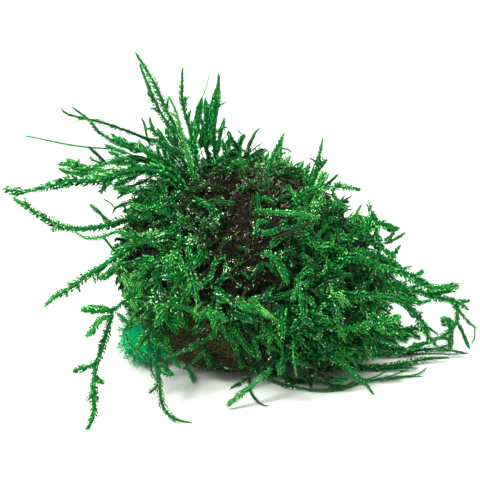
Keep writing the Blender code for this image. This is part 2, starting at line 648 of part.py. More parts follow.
def material(name, colour, roughness):
    """A plain finish."""
    made = bpy.data.materials.new(name)
    made.use_nodes = True
    shader = made.node_tree.nodes["Principled BSDF"]
    shader.inputs["Base Color"].default_value = (*colour, 1)
    shader.inputs["Roughness"].default_value = roughness
    made.diffuse_color = (*colour, 1)
    return made


def add_object(name, bm, finish=None):
    """An object from a mesh in millimetres."""
    bmesh.ops.scale(bm, vec=Vector((MM, MM, MM)), verts=bm.verts)
    mesh = bpy.data.meshes.new(name)
    bm.to_mesh(mesh)
    bm.free()
    if finish:
        mesh.materials.append(finish)
    made = bpy.data.objects.new(name, mesh)
    bpy.context.scene.collection.objects.link(made)
    return made


def add_cutter(name, bm):
    """An object that only cuts another."""
    cutter = add_object(name, bm)
    cutter.hide_render = True
    cutter.display_type = "WIRE"
    return cutter


def cut(target, cutter):
    """Take a cutter's form out of an object."""
    modifier = target.modifiers.new("cut " + cutter.name, "BOOLEAN")
    modifier.operation = "DIFFERENCE"
    modifier.solver = "EXACT"
    modifier.object = cutter


def main():
    for old in list(bpy.data.objects):
        bpy.data.objects.remove(old)

    fibre = material("core fibre", (0.06, 0.042, 0.02), 0.85)
    teal = material("wadding fibre", (0.0, 0.38, 0.12), 0.8)
    coat = material("moss coat", (0.012, 0.16, 0.045), 0.5)
    fresh = material("moss shoot", (0.02, 0.27, 0.06), 0.45)

    core = core_mesh()
    mat = mat_mesh()
    wadding = wadding_mesh()
    crowd = Crowd([core, mat, wadding])
    shoots = shoot_meshes(crowd)
    spine_crowd = Crowd([wadding])
    spine_crowd.rounds = crowd.rounds
    pull_spines(mat, spine_crowd)

    add_object("core", core, fibre)
    around_core = add_cutter("room for the core", core_mesh(GAP))
    around_wadding = add_cutter("room for the wadding", wadding_mesh(GAP + WADDING_ROOM))
    coat_object = add_object("moss_mat", mat, coat)
    cut(coat_object, around_core)
    cut(coat_object, around_wadding)
    cut(add_object("wadding", wadding, teal), around_core)
    for name, bm in shoots.items():
        add_object(name, bm, fresh)


main()
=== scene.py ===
"""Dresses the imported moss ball: a fibre ball, a tuft of wadding and every shoot of the moss.

Lengths are worked out in millimetres, as in the solids, and made metres when a mesh is made.
"""

import math

import bpy
import numpy as np
from bpy.props import FloatProperty, FloatVectorProperty, IntProperty, PointerProperty
from mathutils import Matrix, Vector, noise


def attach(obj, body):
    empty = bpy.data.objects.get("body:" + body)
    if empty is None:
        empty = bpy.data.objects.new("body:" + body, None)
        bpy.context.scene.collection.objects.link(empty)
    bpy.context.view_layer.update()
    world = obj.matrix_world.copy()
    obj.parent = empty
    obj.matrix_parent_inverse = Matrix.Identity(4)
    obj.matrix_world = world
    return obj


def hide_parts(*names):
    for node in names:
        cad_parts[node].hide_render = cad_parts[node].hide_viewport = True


bl_info = {
    "name": "Moss ball",
    "version": (1, 0, 0),
    "blender": (4, 5, 0),
    "location": "3D View > Sidebar > Moss ball",
    "description": "Grows a shaggy water moss ball piece by piece around its packed frame",
    "category": "Object",
}

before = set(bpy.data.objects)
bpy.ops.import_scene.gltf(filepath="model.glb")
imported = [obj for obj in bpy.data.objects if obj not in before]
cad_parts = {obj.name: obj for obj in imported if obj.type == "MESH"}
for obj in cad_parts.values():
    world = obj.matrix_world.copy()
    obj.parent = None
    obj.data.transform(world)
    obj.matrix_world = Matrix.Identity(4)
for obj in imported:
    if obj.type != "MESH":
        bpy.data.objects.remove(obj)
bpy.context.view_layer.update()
BODY = "root"
MM = 0.001

# The fibre ball and the coat's bulge, as in the solids, and a hollow in the front of the coat
CORE_RADIUS = 25.0
FLAT_SPOT_RADIUS = 11.0
CORE_MIDDLE = np.array((0, 0, math.sqrt(CORE_RADIUS**2 - FLAT_SPOT_RADIUS**2)))
BULGE_TOWARDS = np.array((0.93, -0.12, -0.3)) / np.linalg.norm((0.93, -0.12, -0.3))
HOLLOW_TOWARDS = np.array((0.1, -0.97, -0.05)) / np.linalg.norm((0.1, -0.97, -0.05))
HOLLOW_DEPTH = 3.4
HOLLOW_SPREAD = math.radians(12)

# The fibre ball's lumps, how far inside its solid it lies, and below which height it gets calm
CORE_LUMPS = ((1, 9.0), (0.6, 1.6), (0.35, 0.7))
CORE_INSIDE = 0.3
CORE_CALM_BELOW = 8

# How low the coat hangs, as a latitude on the ball in degrees, at compass angles from +X, and how
# ragged that edge is. At the front left it stops higher than the solid, so that the ball shows.
EDGE_ANGLES = (0, 45, 90, 135, 180, 205, 222, 240, 262, 280, 315, 360)
EDGE_LATITUDES = (-42, -38, -36, -34, -27, -19, -13, -8, -9, -22, -35, -42)
EDGE_RAGGED = 5

# Lumps are read on a ball of this radius. Their sizes: of the coat and of its edge.
LUMP_BALL = 30
COAT_LUMP_SIZE = 7.0
EDGE_LUMP_SIZE = 6.0

# The matted felt: how far inside the coat it lies, the heights and sizes of its lumps, how
# softly it comes out of the ball at the coat's edge, how far it hides in the ball and over the
# flat spot below that, and how low it may come
FELT_DEPTH = 2.6
FELT_LUMPS = ((0.8, 2.2), (0.5, 0.9))
FELT_EDGE = math.radians(9)
FELT_HIDDEN = 2
FELT_OFF_FLAT_SPOT = 3
FELT_LEAST_FALL = 0.3
FELT_LOWEST = 2.0

# The wadding, a little smaller than its solid, so that its filaments reach the solid's outside.
# Its lumps are heights and sizes on a ball of radius WADDING_BALL.
WADDING_MIDDLE = np.array((-22.5, -3.5, 6.3))
WADDING_HALF_SIZE = np.array((7.0, 8.5, 6.2))
WADDING_TURN = math.radians(-24)
WADDING_BALL = 10
WADDING_LUMPS = ((0.14, 4.0),)
WADDING_FLUFF = ((0.08, 1.1), (0.05, 0.45))
WADDING_INSIDE = 0.9
WADDING_LOWEST = 0.3
WADDING_LOW_LEFT = np.array((-0.8, 0, -0.6))
WADDING_LOW_LEFT_LOSS = 0.2

# The front view that routes are read off: it looks down by 20 degrees at VIEW_AIM
TILT_COS = math.cos(math.radians(20))
TILT_SIN = math.sin(math.radians(20))
VIEW_BACK = np.array((0, -TILT_COS, TILT_SIN))
VIEW_DISTANCE = 500.0
VIEW_AIM = (1.3, 0.0, 31.5)
VIEW_AIM_UP = 29.0
FLOOR = None

# Each long shoot: its leafy width, its route from root to tip and the tips of its side twigs.
# A point is how far across, how far up the view and how far towards the viewer; FLOOR in the
# last place means that the point lies on the surface.
SHOOTS = {
    "top_tall": (1.7, [(-11.5, 50, -6), (-14.8, 57.2, -4), (-17.5, 62.2, -3), (-19.5, 67, -2),
        (-22.5, 72.2, -1), (-25.2, 76.5, 0)], [(-16.2, 65, -3)]),
    "top_tall_fork": (1.5, [(-13.6, 50, 1), (-15.4, 55.8, 2), (-18, 59.8, 3), (-20, 63.8, 4),
        (-21.6, 67.6, 4.5), (-23, 71, 5), (-24, 73.6, 5)], [(-22.2, 65.8, 5), (-21.4, 62, 4)]),
    "top_second": (1.6, [(-9.5, 48, 2), (-11, 56, 2), (-12.5, 61, 3), (-13.2, 64.5, 4),
        (-13.2, 68.2, 5), (-13, 72.5, 6)], [(-11.3, 65, 4)]),
    "top_pale": (1.4, [(-10.5, 46, 8), (-13.3, 56, 10), (-14.9, 61.5, 11), (-16.5, 65.2, 12)],
        [(-16.6, 61, 11)]),
    "top_hair": (1.1, [(-8, 50, -8), (-10.2, 57.2, -9), (-9.5, 61.5, -9), (-8.2, 64.5, -9),
        (-7, 67.5, -8), (-6.2, 71.8, -8)], []),
    "top_frond": (2.6, [(-5, 50, 0), (-5.2, 56.5, 1), (-5, 61, 2), (-4.4, 66, 3), (-4, 70.8, 4)],
        [(-2, 63.5, 2), (-1.5, 57.3, 1), (-7, 63.2, 2)]),
    "top_left": (1.5, [(-16, 46, -1), (-18.6, 54, 0), (-20.5, 56.8, 1), (-21.4, 60, 2)],
        [(-22.4, 57, 1)]),
    "top_right": (1.6, [(8, 45, 6), (9.8, 50.5, 7), (11, 52.8, 8), (12.5, 56, 9)],
        [(14.5, 50.8, 8)]),
    "top_right_broad": (2.2, [(17.5, 39.5, 4), (20, 44.5, 4), (21, 48.8, 5), (22, 54.8, 5)],
        [(23.4, 49, 5), (23.6, 45, 4), (18.6, 49.5, 5)]),
    "right_high": (1.5, [(15, 38.5, 12), (18.5, 41.5, 13), (22.5, 42.2, 13), (28, 42.2, 13),
        (31.8, 41.5, 12)], [(26.5, 43.8, 13)]),
    "right_broad": (2.0, [(27, 28, 10), (32, 31.2, 11), (35.8, 33.2, 12), (41.2, 31.8, 12)],
        [(34.6, 36, 12), (33.2, 39, 10)]),
    "right_middle": (1.9, [(34, 23, -6), (37.2, 23.6, -5), (39.2, 24.8, -4), (41.5, 27.8, -3)],
        [(40.8, 22.4, -4)]),
    "right_long": (2.3, [(27, 24.5, 18), (34.2, 23.8, 22), (38, 21.8, 24), (43.8, 19.8, 25),
        (48.2, 17.4, 25), (52.2, 17.2, 25), (56.2, 17.8, 25)], [(43.9, 22.4, 25),
        (47.6, 21.2, 25)]),
    "right_longest": (1.8, [(33, 17, 6), (39, 17, 6), (45.2, 16.5, 6), (50.2, 14.8, 6),
        (54.8, 13.8, 5), (59.2, 13.8, 4)], [(47, 19, 6), (57.6, 12, 5)]),
    "right_droop": (1.8, [(27.5, 15, 22), (33.8, 14.8, 26), (41, 14, 28), (45.8, 9.4, 27),
        (48.4, 5, 24), (51.6, 1, 20)], [(38.8, 11, 29)]),
    "right_droop_inner": (1.5, [(34, 14, 12), (41, 13.6, 14), (44.8, 11, 15.5), (47.4, 8, 16),
        (51, 5.2, 16)], [(47.2, 10.8, 16)]),
    "right_low": (1.7, [(27, 7, 24), (33.8, 7.6, 29), (38.8, 8.2, 32), (41.6, 9.8, 33)],
        [(39.6, 5.2, 32), (37, 11, 31)]),
    "floor_right_long": (2.0, [(15, 1, FLOOR), (31.8, 0.8, FLOOR), (39.5, 0.6, FLOOR),
        (50.2, 1.8, FLOOR), (58.8, 0.5, FLOOR)], [(45, 3.4, -6), (54, 3.2, -5)]),
    "floor_right_short": (1.8, [(24, -2, 10), (37.5, -2.6, FLOOR), (47.2, -0.8, FLOOR),
        (54, -0.4, FLOOR)], []),
    "floor_wire": (1.0, [(12.5, 5.5, 26), (12.2, -1.5, 26), (13.2, -6, FLOOR), (16.5, -8, FLOOR),
        (22, -8.6, FLOOR), (27.2, -8, FLOOR), (31.6, -6.5, FLOOR), (39.5, -5.4, FLOOR),
        (45.8, -4.5, FLOOR), (48.2, -2.6, FLOOR)], [(47.6, -5.2, 20), (43.5, -3.2, 20),
        (38, -3.6, 22)]),
    "floor_right_front": (1.3, [(23, 2, 22), (27, -1.6, 26), (31.8, -6, 28.5), (35, -10, FLOOR)],
        []),
    "floor_back_right": (2.4, [(22, 5, FLOOR), (33.8, 5, FLOOR), (40, 6.2, FLOOR),
        (45, 7.2, FLOOR)], [(40.8, 8.8, -18), (46.5, 4.2, -10), (43, 3.4, -8)]),
    "left_high": (1.3, [(-13.5, 48, -9), (-18.5, 52.6, -5), (-24, 55.1, -1.5), (-31.2, 57.8, 2),
        (-36.5, 59.2, 3), (-42, 60.5, 5), (-43.7, 62.4, 6)], [(-39.6, 58.8, 3.5)]),
    "left_high_thin": (1.2, [(-16, 47.5, 6), (-21.5, 50.6, 8), (-27.5, 52.7, 9.5),
        (-31.2, 54.2, 10), (-34.2, 56.2, 11), (-36.2, 58.8, 12), (-38.8, 60.8, 13),
        (-41, 62.5, 14)], [(-31, 56, 9)]),
    "left_hair": (0.7, [(-20, 47, -11), (-27, 50.8, -10), (-32.8, 51.9, -10), (-37.2, 52.2, -10),
        (-43.5, 53.2, -11), (-49.5, 54.5, -12), (-53.5, 55.2, -12)], []),
    "left_cluster": (2.5, [(-17, 46, 4), (-22.5, 49, 0), (-27.5, 49.4, -1), (-32, 48.2, -2),
        (-37.2, 46.7, -1), (-40.5, 47.2, 0), (-42.2, 49.8, 1)], [(-44.6, 47.9, 1),
        (-40.8, 45.2, 0), (-36.4, 50.2, -1), (-38.6, 49.6, 0), (-34.2, 45.2, 0)]),
    "left_thick": (2.3, [(-15, 44.5, 10), (-21, 46.6, 9.5), (-25.5, 46.6, 10.5), (-29.5, 45.4, 12),
        (-34.2, 43.8, 13), (-41.5, 43.8, 15), (-46.2, 42.5, 16), (-52, 41.2, 17),
        (-56.8, 40.2, 18)], [(-58.2, 42, 18), (-44.5, 41.2, 15), (-33.4, 40.4, 13)]),
    "left_arc": (1.9, [(-24.5, 34.5, 3), (-28.2, 34, 4), (-32, 32.6, 5), (-35.8, 32, 6),
        (-40.5, 31.8, 7), (-44.2, 32.8, 8), (-48, 34.8, 9), (-52, 37.2, 10), (-56, 39.8, 11)],
        [(-52.6, 39.6, 10), (-46.2, 31.4, 8)]),
    "left_low_strand": (1.3, [(-24.5, 29, 12), (-29.2, 31, 13), (-33.5, 29.7, 13),
        (-37.2, 29.5, 13), (-40.2, 31.2, 13)], []),
    "left_lower": (1.8, [(-25, 27.6, 12), (-29, 25.4, 16), (-32, 23.2, 18), (-34.2, 21.8, 20),
        (-37, 20.2, 22), (-39.8, 18, 25), (-42.2, 16.5, 27), (-45.2, 14.8, 29), (-47.8, 12.2, 30)],
        [(-34.2, 18.4, 20)]),
    "leg_upper": (1.4, [(-20.8, 19, 20), (-24.2, 16.5, 25), (-27.8, 13.6, 30), (-30.4, 11.2, 33)],
        [(-27.2, 17.2, 29)]),
    "over_wadding": (1.0, [(-9.5, 3, 27), (-16.8, -0.2, 28), (-22.5, 0.4, 26), (-26, 2.5, 23),
        (-27.6, 6, 21)], []),
    "front_left": (1.8, [(-17.5, 6, 22), (-19.6, 0, 28), (-19.2, -5, 33), (-18.7, -8, 36),
        (-18.2, -12, 38), (-16.2, -15, FLOOR), (-13.5, -16.2, FLOOR), (-10.2, -16.8, FLOOR)],
        [(-15.2, -4.8, 33), (-21.6, -9.2, 36)]),
    "front_stub": (1.9, [(10.2, 1, 25), (8.5, -3.6, 29), (3, -8.4, 32), (-2.2, -12.6, FLOOR)], []),
    "front_dark": (1.3, [(6.4, -1, 19), (2.8, -5.6, 22), (-1.2, -8.2, 24.5)], []),
    "front_root": (0.8, [(3.5, -5, 15), (3.8, -8.5, FLOOR), (5, -10.6, FLOOR), (7, -12.2, FLOOR),
        (8.8, -12.4, FLOOR)], []),
    "front_bright": (1.3, [(6, 36, 17), (14.2, 35.6, 22), (21.2, 34.6, 21)], []),
}

# How fresh a long shoot is, how much it narrows towards its tip, and its leafy width as a share
# of its solid's
SHOOT_LOOKS = {
    "top_tall": (0.58, 0.5, 0.95), "top_tall_fork": (0.46, 0.4, 0.9),
    "top_second": (0.48, 0.5, 0.9), "top_pale": (0.72, 0.4, 0.85), "top_hair": (0.8, 0.2, 0.45),
    "top_frond": (0.44, 0.6, 0.5), "top_right": (0.55, 0.5, 0.8),
    "top_right_broad": (0.5, 0.6, 0.7), "left_high": (0.42, 0.3, 0.9),
    "left_high_thin": (0.46, 0.4, 1), "left_hair": (0.6, 0.2, 1), "left_cluster": (0.6, 0.3, 0.6),
    "left_thick": (0.46, 0.6, 0.98), "left_arc": (0.58, 0.35, 0.95), "left_lower": (0.6, 0.2, 1),
    "left_low_strand": (0.66, 0.4, 1), "leg": (0.5, 0.1, 1.1), "leg_upper": (0.48, 0.1, 1),
    "leg_branch_out": (0.55, 0.2, 1), "leg_branch_down": (0.66, 0.2, 1),
    "leg_branch_low": (0.56, 0.2, 1.35), "front_left": (0.42, 0.5, 0.85),
    "over_wadding": (0.44, 0.3, 1.1), "right_droop": (0.46, 0.5, 1),
    "right_droop_inner": (0.44, 0.5, 1), "right_longest": (0.52, 0.3, 1),
    "right_long": (0.5, 0.3, 0.8), "right_high": (0.5, 0.2, 1),
    "right_fork_down": (0.56, 0.3, 0.95), "right_fork_out": (0.54, 0.4, 0.85),
    "floor_right_long": (0.46, 0.5, 0.85), "floor_right_short": (0.48, 0.5, 0.9),
    "floor_wire": (0.46, 0.4, 0.85), "floor_right_front": (0.48, 0.4, 0.85),
    "floor_back_right": (0.52, 0.4, 0.9), "front_dark": (0.3, 0.5, 1),
    "front_root": (0.34, 0.5, 1), "front_bright": (0.62, 0.4, 1), "front_stub": (0.64, 0.0, 0.8),
}

# The parts of a branching shoot past its forks, each from a point of the shoot that bears it
FORKS = {
    "right_fork_down": (1.5, [(54.4, 13.9, 5), (55.6, 11.2, 6), (55.4, 8.6, 7.5), (53.9, 6.4, 9),
        (51.3, 4.7, 10), (48.2, 3.2, 11)], [(51.6, 9.3, 8), (54.2, 1.8, 9)]),
    "right_fork_out": (1.3, [(54.8, 13.8, 5), (56.8, 10.4, 4), (58.5, 8.6, 4), (60.5, 6.8, 4)],
        [(58.9, 2.8, 4)]),
    "leg": (1.5, [(-30.4, 11.2, 33), (-31.4, 8, 34.4), (-33.2, 2.2, 37), (-34.2, -1.2, 39),
        (-35, -4, 41), (-35.3, -7.8, 44), (-35.2, -11.5, 46), (-35.5, -15.5, 48),
        (-37.2, -18.8, FLOOR)], [(-33, -7, 43), (-37, -11.4, 46)]),
    "leg_branch_out": (1.4, [(-29.6, 12, 32), (-32, 11.4, 34), (-34.8, 11.3, 35.5),
        (-38.5, 11.5, 37)], []),
    "leg_branch_down": (1.4, [(-30.9, 10, 33.4), (-33, 9.5, 35.5), (-34.4, 7.8, 37.5),
        (-35.8, 6, 39.5), (-37.2, 4.8, 41)], []),
    "leg_branch_low": (1.1, [(-34.2, -1.2, 39), (-35.9, -2.4, 40.5), (-37.5, -2.8, 41.5),
        (-40.5, -3.8, 43)], []),
}

# How far a forked part runs back into the shoot that bears it, mm
FORK_OVERLAP = 0.9

# How much wider the leafy part of a long shoot is than its solid
SHOOT_FULLNESS = 1.15

# Shoots at the back, as plain places: right, away from the front, and up
BACK_SHOOTS = {
    "back_high": (1.8, [(4, 26, 38), (6, 34, 38), (9, 42, 35), (10, 49, 29)], [(12.5, 41, 32),
        (5, 42, 38)]),
    "back_high_left": (1.7, [(-10, 25, 36), (-14, 33, 38), (-17, 41, 36), (-18, 47, 30)],
        [(-20, 38, 34)]),
    "back_right": (1.8, [(16, 24, 28), (22, 32, 28), (27, 39, 23), (30, 45, 15)],
        [(22.5, 39, 22)]),
    "back_left": (1.8, [(-20, 22, 27), (-24, 30, 26), (-26, 38, 21), (-26, 45, 12)],
        [(-21.5, 40, 17)]),
    "back_middle": (1.9, [(0, 28, 22), (-2, 37, 20), (-5, 46, 14), (-7, 52, 6)], [(0, 45, 12),
        (-9, 43, 19)]),
    "back_floor_right": (1.7, [(9, 26, 14), (14, 36, 11), (18, 43, 6), (21, 50, 1.2)],
        [(20.5, 39, 6)]),
    "back_floor_left": (1.7, [(-11, 24, 11), (-16, 33, 8), (-18, 40, 4), (-19, 47, 1.1)],
        [(-13, 40, 3)]),
    "back_low_right": (1.8, [(22, 18, 17), (30, 25, 15), (36, 30, 10), (40, 33, 4)],
        [(31.5, 30.5, 8)]),
    "back_low_left": (1.4, [(-11, 12, 3), (-19, 24, 2.2), (-22, 32, 1.2), (-23, 40, 1.1)], []),
}

# The sprigs that stand out on the coat in the front view. Each row is a sprig's tint, its leafy
# width, how far above the felt it lies, and then its points from root to tip, two numbers for
# each: across and up the view.
SPRIGS = [
    (0.6, 1.3, 1, 1.1, 47.7, 1.3, 52.6, 2.4, 54.8),
    (0.3, 0.6, 1, 2.4, 54.8, 1.7, 55.5, 0.5, 56.8),
    (0.48, 1.2, 1, 2.9, 47.2, 3.1, 50.8, 4.1, 53.7, 4.9, 55.5, 5.8, 56.9, 6.7, 57.4),
    (0.35, 1, 1, 1.7, 50.3, 0.6, 52.6, -1.2, 55),
    (0.6, 1.5, 1.5, 5.1, 47.2, 5.8, 49, 6.9, 50.8, 7.8, 52),
    (0.62, 1.9, 1, 11.1, 45, 10.9, 48.1, 11, 50.8, 11.5, 53.2, 12.3, 55.4),
    (0.55, 0.9, 1, 11.1, 50.3, 12.9, 50.8),
    (0.5, 1.6, 1, 8.9, 45.4, 9.1, 48.1, 9.6, 50.3, 10.2, 52.1),
    (0.66, 1.9, 1, 11.8, 45, 12.5, 47.7, 13.1, 49.2, 14.2, 50),
    (0.5, 1.3, 1, 12.7, 45, 14, 47, 15.6, 47.9, 17.6, 48.8),
    (0.3, 1, 1, 14.5, 43.6, 16, 45, 16.9, 46.3),
    (0.68, 2.2, 0, 20.7, 41, 21.8, 44.1, 23.2, 46.1),
    (0.55, 1, 1, 20.9, 45.9, 22.9, 48.7),
    (0.4, 0.9, 1, 22.5, 41.9, 24.5, 44.1, 26, 45.6),
    (0.5, 1.6, 2, 12.5, 42.3, 13.6, 41.4, 14.5, 39.8),
    (0.36, 1.4, 2, 11.3, 39.2, 13.6, 39.5, 16, 39),
    (0.5, 1.2, 3, 18, 35.4, 20.3, 35.2, 22.2, 33.4, 22.2, 31.6, 20.7, 30),
    (0.5, 1.4, 3, 17.6, 35.8, 16, 33.4, 15.6, 31.1),
    (0.5, 1.6, 3, 16.9, 39.4, 17.6, 36.3, 18.5, 32.7, 20.3, 30),
    (0.5, 1.5, 3, 5.5, 31.1, 5.5, 32.7, 6.9, 33.7, 8.5, 33),
    (0.46, 1.4, 3, 5.8, 40.3, 5.5, 38.1, 6.4, 36.1, 7.9, 35),
    (0.52, 1.1, 3, 6.7, 39.4, 8.9, 38.7, 10.4, 37.7),
    (0.48, 2, 3, 15.4, 31.9, 10.7, 31.1, 6.7, 30.6),
    (0.45, 1, 2, -7.4, 51.7, -5.8, 48.6, -4.5, 46.8, -2.1, 45, -0.9, 41.9),
    (0.55, 0.8, 2, 1.6, 48.3, 2.4, 45.9, 2.6, 43.4),
    (0.42, 1.3, 1, -6.5, 49, -7, 51.7, -7.4, 54.1),
    (0.46, 1.4, 1, -2.1, 49, -2.5, 51.9, -3.2, 54.4),
    (0.44, 1.6, 1, 0.6, 47.7, 0.2, 49.9, 0.4, 51.9),
    (0.5, 1.4, 1, 6.7, 46.3, 6.9, 48.6, 6.7, 50.3),
    (0.5, 1.3, 2, 15.6, 36.5, 16.5, 38.3, 17.4, 39.2),
    (0.52, 1.8, 3, 18.7, 36.3, 20, 38.7, 21.8, 40.7),
    (0.42, 1, 1, -8.8, 61.1, -7.9, 57.5, -7.6, 54.8),
    (0.52, 2.3, 3, -21.2, 24.1, -24.4, 23.2, -27.5, 22.6, -30.6, 21.7, -33.8, 19.1),
    (0.56, 1.8, 3, -20.4, 29.7, -24.2, 29.2, -27.7, 27.1, -30, 25, -32.4, 22.1),
    (0.48, 1, 1, -27.9, 25, -30, 26.3, -31.5, 28.2, -33.2, 30.3),
    (0.6, 1, 3, -17.7, 21, -21.2, 18.3, -23.9, 16.3),
    (0.4, 1.7, 3, -19.5, 19.4, -18.1, 15.4, -17.2, 12.5, -16.8, 9.2, -16.5, 6.7),
    (0.5, 1.3, 4, -17, 13, -15.2, 13.9, -13.5, 14.6),
    (0.5, 2.2, 3, -16.8, 9.6, -14.6, 8.7, -13.1, 7.7),
    (0.5, 1.4, 3, -16.5, 9.6, -15.4, 7.4, -14.4, 5.2),
    (0.4, 1.6, 3, -17.9, 12.5, -21.2, 11, -23.9, 8.5),
    (0.5, 1.3, 2, -18.1, 11.4, -21, 9.2, -23.3, 7.2),
    (0.54, 0.9, 3, -17.1, 10.7, -19.2, 8.1),
    (0.62, 0.8, 4, -14, 19.1, -15.2, 17, -16.5, 14.2),
    (0.5, 1.3, 2, -5, 5.4, -8.1, 3.8, -10.5, 2.5, -13.7, 0.7),
    (0.42, 1.5, 1, -7.5, 0.9, -6.2, -0.2, -6.5, -2.8),
    (0.5, 0.7, 1, -8.1, 0.5, -9.6, -0.4, -11.1, -2.5),
    (0.62, 1.7, 1, -24.4, 19, -26.4, 19.9, -28.2, 19, -28.4, 17.2),
    (0.64, 1.6, 1, -22.1, 17.2, -24.8, 16.8, -26.4, 15),
    (0.68, 1.7, 2, -20.4, 16.3, -21.9, 14.5, -23.9, 12.3),
    (0.68, 1.6, 2, -19.5, 15, -20.6, 13.4, -22.1, 11.4),
    (0.55, 1.5, 1, -23.9, 14.5, -25.5, 12.8, -26.4, 11),
    (0.6, 1.2, 2, -18.1, 7.2, -17.2, 5.2, -17, 2.7),
    (0.64, 2, 2, -20.6, 6.5, -19.9, 4.7, -19.5, 2.9),
    (0.55, 1.4, 1, -19.5, 1.8, -18.1, 2.7, -15.9, 1.1),
    (0.46, 2, 3, -16.8, 24.1, -13.7, 22.6, -10.1, 22.1),
    (0.44, 2.2, 3, -10.1, 24.1, -12.3, 20.8, -13.7, 17.2),
    (0.46, 2, 3, -8.8, 17.7, -6.3, 19, -5, 21.9),
    (0.42, 2, 2, -23, 23.9, -20.4, 22.1, -17.2, 19),
    (0.46, 1.9, 3, -12.3, 17.2, -11.4, 15, -12.3, 12.8),
    (0.44, 1.8, 2, -6.1, 11.4, -8.5, 9, -10.3, 5.2),
    (0.5, 1.9, 3, -4.9, 17.2, -2.7, 15.3, -0.4, 13.6, 2.5, 12, 4.2, 11),
    (0.6, 1.7, 4, 2.7, 12.3, 4.2, 13.9, 6.4, 14.8),
    (0.5, 1.6, 3, 2.7, 11.9, 2.5, 10.3, 2.9, 8.7),
    (0.5, 0.9, 3, 4.5, 10.1, 5.6, 6.3),
    (0.5, 1.5, 2, -1, 7.6, -0.2, 3.6, 0.8, 0),
    (0.58, 1.5, 2, 0, 7.2, 2, 3.6, 3.8, 1.6, 6.2, -1.1),
    (0.56, 1.9, 4, 8.9, 25.5, 11.4, 22.6, 12.7, 19.4, 13.5, 17.8),
    (0.46, 0.9, 3, 8, 23, 10.9, 19.8),
    (0.5, 0.8, 3, 2, 21, 3.9, 19),
    (0.54, 1.1, 3, 17, 25.2, 19.5, 23.2),
    (0.5, 1.1, 3, 21.2, 26.1, 23.3, 23.6),
    (0.4, 1.3, 3, 6.2, 14.1, 9.4, 14.5, 12.9, 15.4, 15.5, 17),
    (0.43, 1.8, 3, 16.1, 18.1, 17, 15.4, 18.8, 13, 21.2, 10.5, 24.6, 9),
    (0.48, 1.7, 3, 17.9, 11.4, 20.5, 9, 23.2, 8.7, 27.5, 10.1),
    (0.36, 1.5, 3, 12.5, 10.1, 15.2, 7.8, 16.6, 5.4),
    (0.32, 1.3, 2, 15.2, 7.8, 15.8, 3.6),
    (0.72, 1.4, 3, 21.4, 5.9, 19.5, 4.2),
    (0.42, 1.2, 1, 1.1, 0.2, 1.9, -3.5),
    (0.62, 2.2, 4, 17.9, 29.5, 20.3, 27.3, 23.2, 27.3, 25.9, 26.8, 28.1, 26),
    (0.48, 2.1, 3, 13.4, 30.6, 10.7, 29, 8.5, 26.8),
    (0.44, 2.2, 3, 19, 22.6, 17.4, 20.3, 17, 18.1),
    (0.46, 1.8, 3, -3.6, 19, -2, 20.8, -2.5, 23.2),
    (0.48, 1.7, 3, -5.4, 22.6, -4, 24.1, -2.2, 25.2),
    (0.44, 1.7, 3, 7.6, 14.3, 8.5, 15.9, 10, 17.4),
    (0.32, 1.9, 3, 9.4, 12.3, 11.6, 10.5, 12.9, 7.8),
    (0.3, 1.8, 2, 13.4, 5.6, 14.3, 2.9, 13.6, 0.2),
    (0.4, 1.8, 3, 22.8, 18.1, 25.4, 15.9, 28.1, 14.5),
    (0.46, 1.9, 3, 23.2, 21.7, 25.9, 22.6, 28.1, 24.8),
    (0.5, 1.4, 1, 34.2, 31.6, 34.7, 33.6, 35.2, 35.5),
    (0.6, 1.3, 1, 33.3, 31.6, 33.3, 33.4, 32.7, 35),
    (0.64, 1.5, 1, 31.8, 31.4, 32.2, 33.6, 31.1, 35.4),
    (0.5, 1.7, 1, 33.6, 32.5, 36.2, 32.8, 38.5, 31.9, 41.3, 31.8),
    (0.58, 1.2, 1, 39.4, 31.5, 39.2, 30, 37.1, 28.8),
    (0.42, 0.8, 1, 37.6, 28, 40.3, 29.1, 43.1, 30.9),
    (0.64, 0.7, 1, 39.2, 25.6, 41.5, 27.8),
    (0.64, 1.8, 1, 36.2, 27.6, 38, 26, 40.4, 24.3),
    (0.6, 1, 1, 41.6, 21.1, 42.9, 22, 44.5, 22.4),
    (0.58, 1, 1, 44.1, 19.5, 45.6, 20.2, 47.2, 21.7),
    (0.5, 1.1, 1, 43.4, 18.5, 45.2, 19.1, 47, 19.1, 48.5, 17.8, 49.9, 16.7, 51.3, 17.3),
    (0.52, 2.6, 5, 47.4, 15.4, 50.1, 16, 52.8, 16.7, 56.2, 17.7),
    (0.5, 1.3, 2.5, 30.9, 32.7, 28.9, 30, 26.8, 27.6),
    (0.55, 1.9, 3, 40.7, 15.1, 42.9, 14.2, 45.2, 13.3, 47.3, 13.3),
    (0.5, 1, 1, 46.3, 14, 49.2, 13.9),
    (0.58, 2.1, 1, 54.3, 6.8, 53.4, 8.8, 51.3, 9.2),
    (0.5, 1.1, 1, 53.7, 7.5, 54.2, 4.1, 54, 1.5),
    (0.54, 1.1, 1, 55, 8.6, 56.8, 6.4, 57.9, 3.5, 58.9, 1.5),
    (0.5, 1, 1, 55.8, 13.3, 58.6, 11.4),
    (0.4, 2.6, -2, 42.9, 5.2, 44.7, 6.8, 46.5, 6.4),
    (0.5, 1.3, -2, 50.1, 4.4, 47.9, 3.5, 43.8, 1.7),
    (0.5, 0.9, -1, 51.2, 4.6, 54.8, 3.9),
    (0.34, 0.9, 1, 36.5, 13.3, 39.6, 11.6),
    (0.34, 0.9, 1, 37.1, 11.9, 39.2, 10.4),
    (0.6, 1.9, 2, 38, 9, 39.8, 9.3, 41.7, 10),
    (0.46, 2, 2, 35.8, 9.7, 38.3, 7.9, 40.5, 6.8, 41.8, 5.7),
    (0.5, 2, 2, 38, 6.8, 40.7, 4.8, 43.2, 2.8),
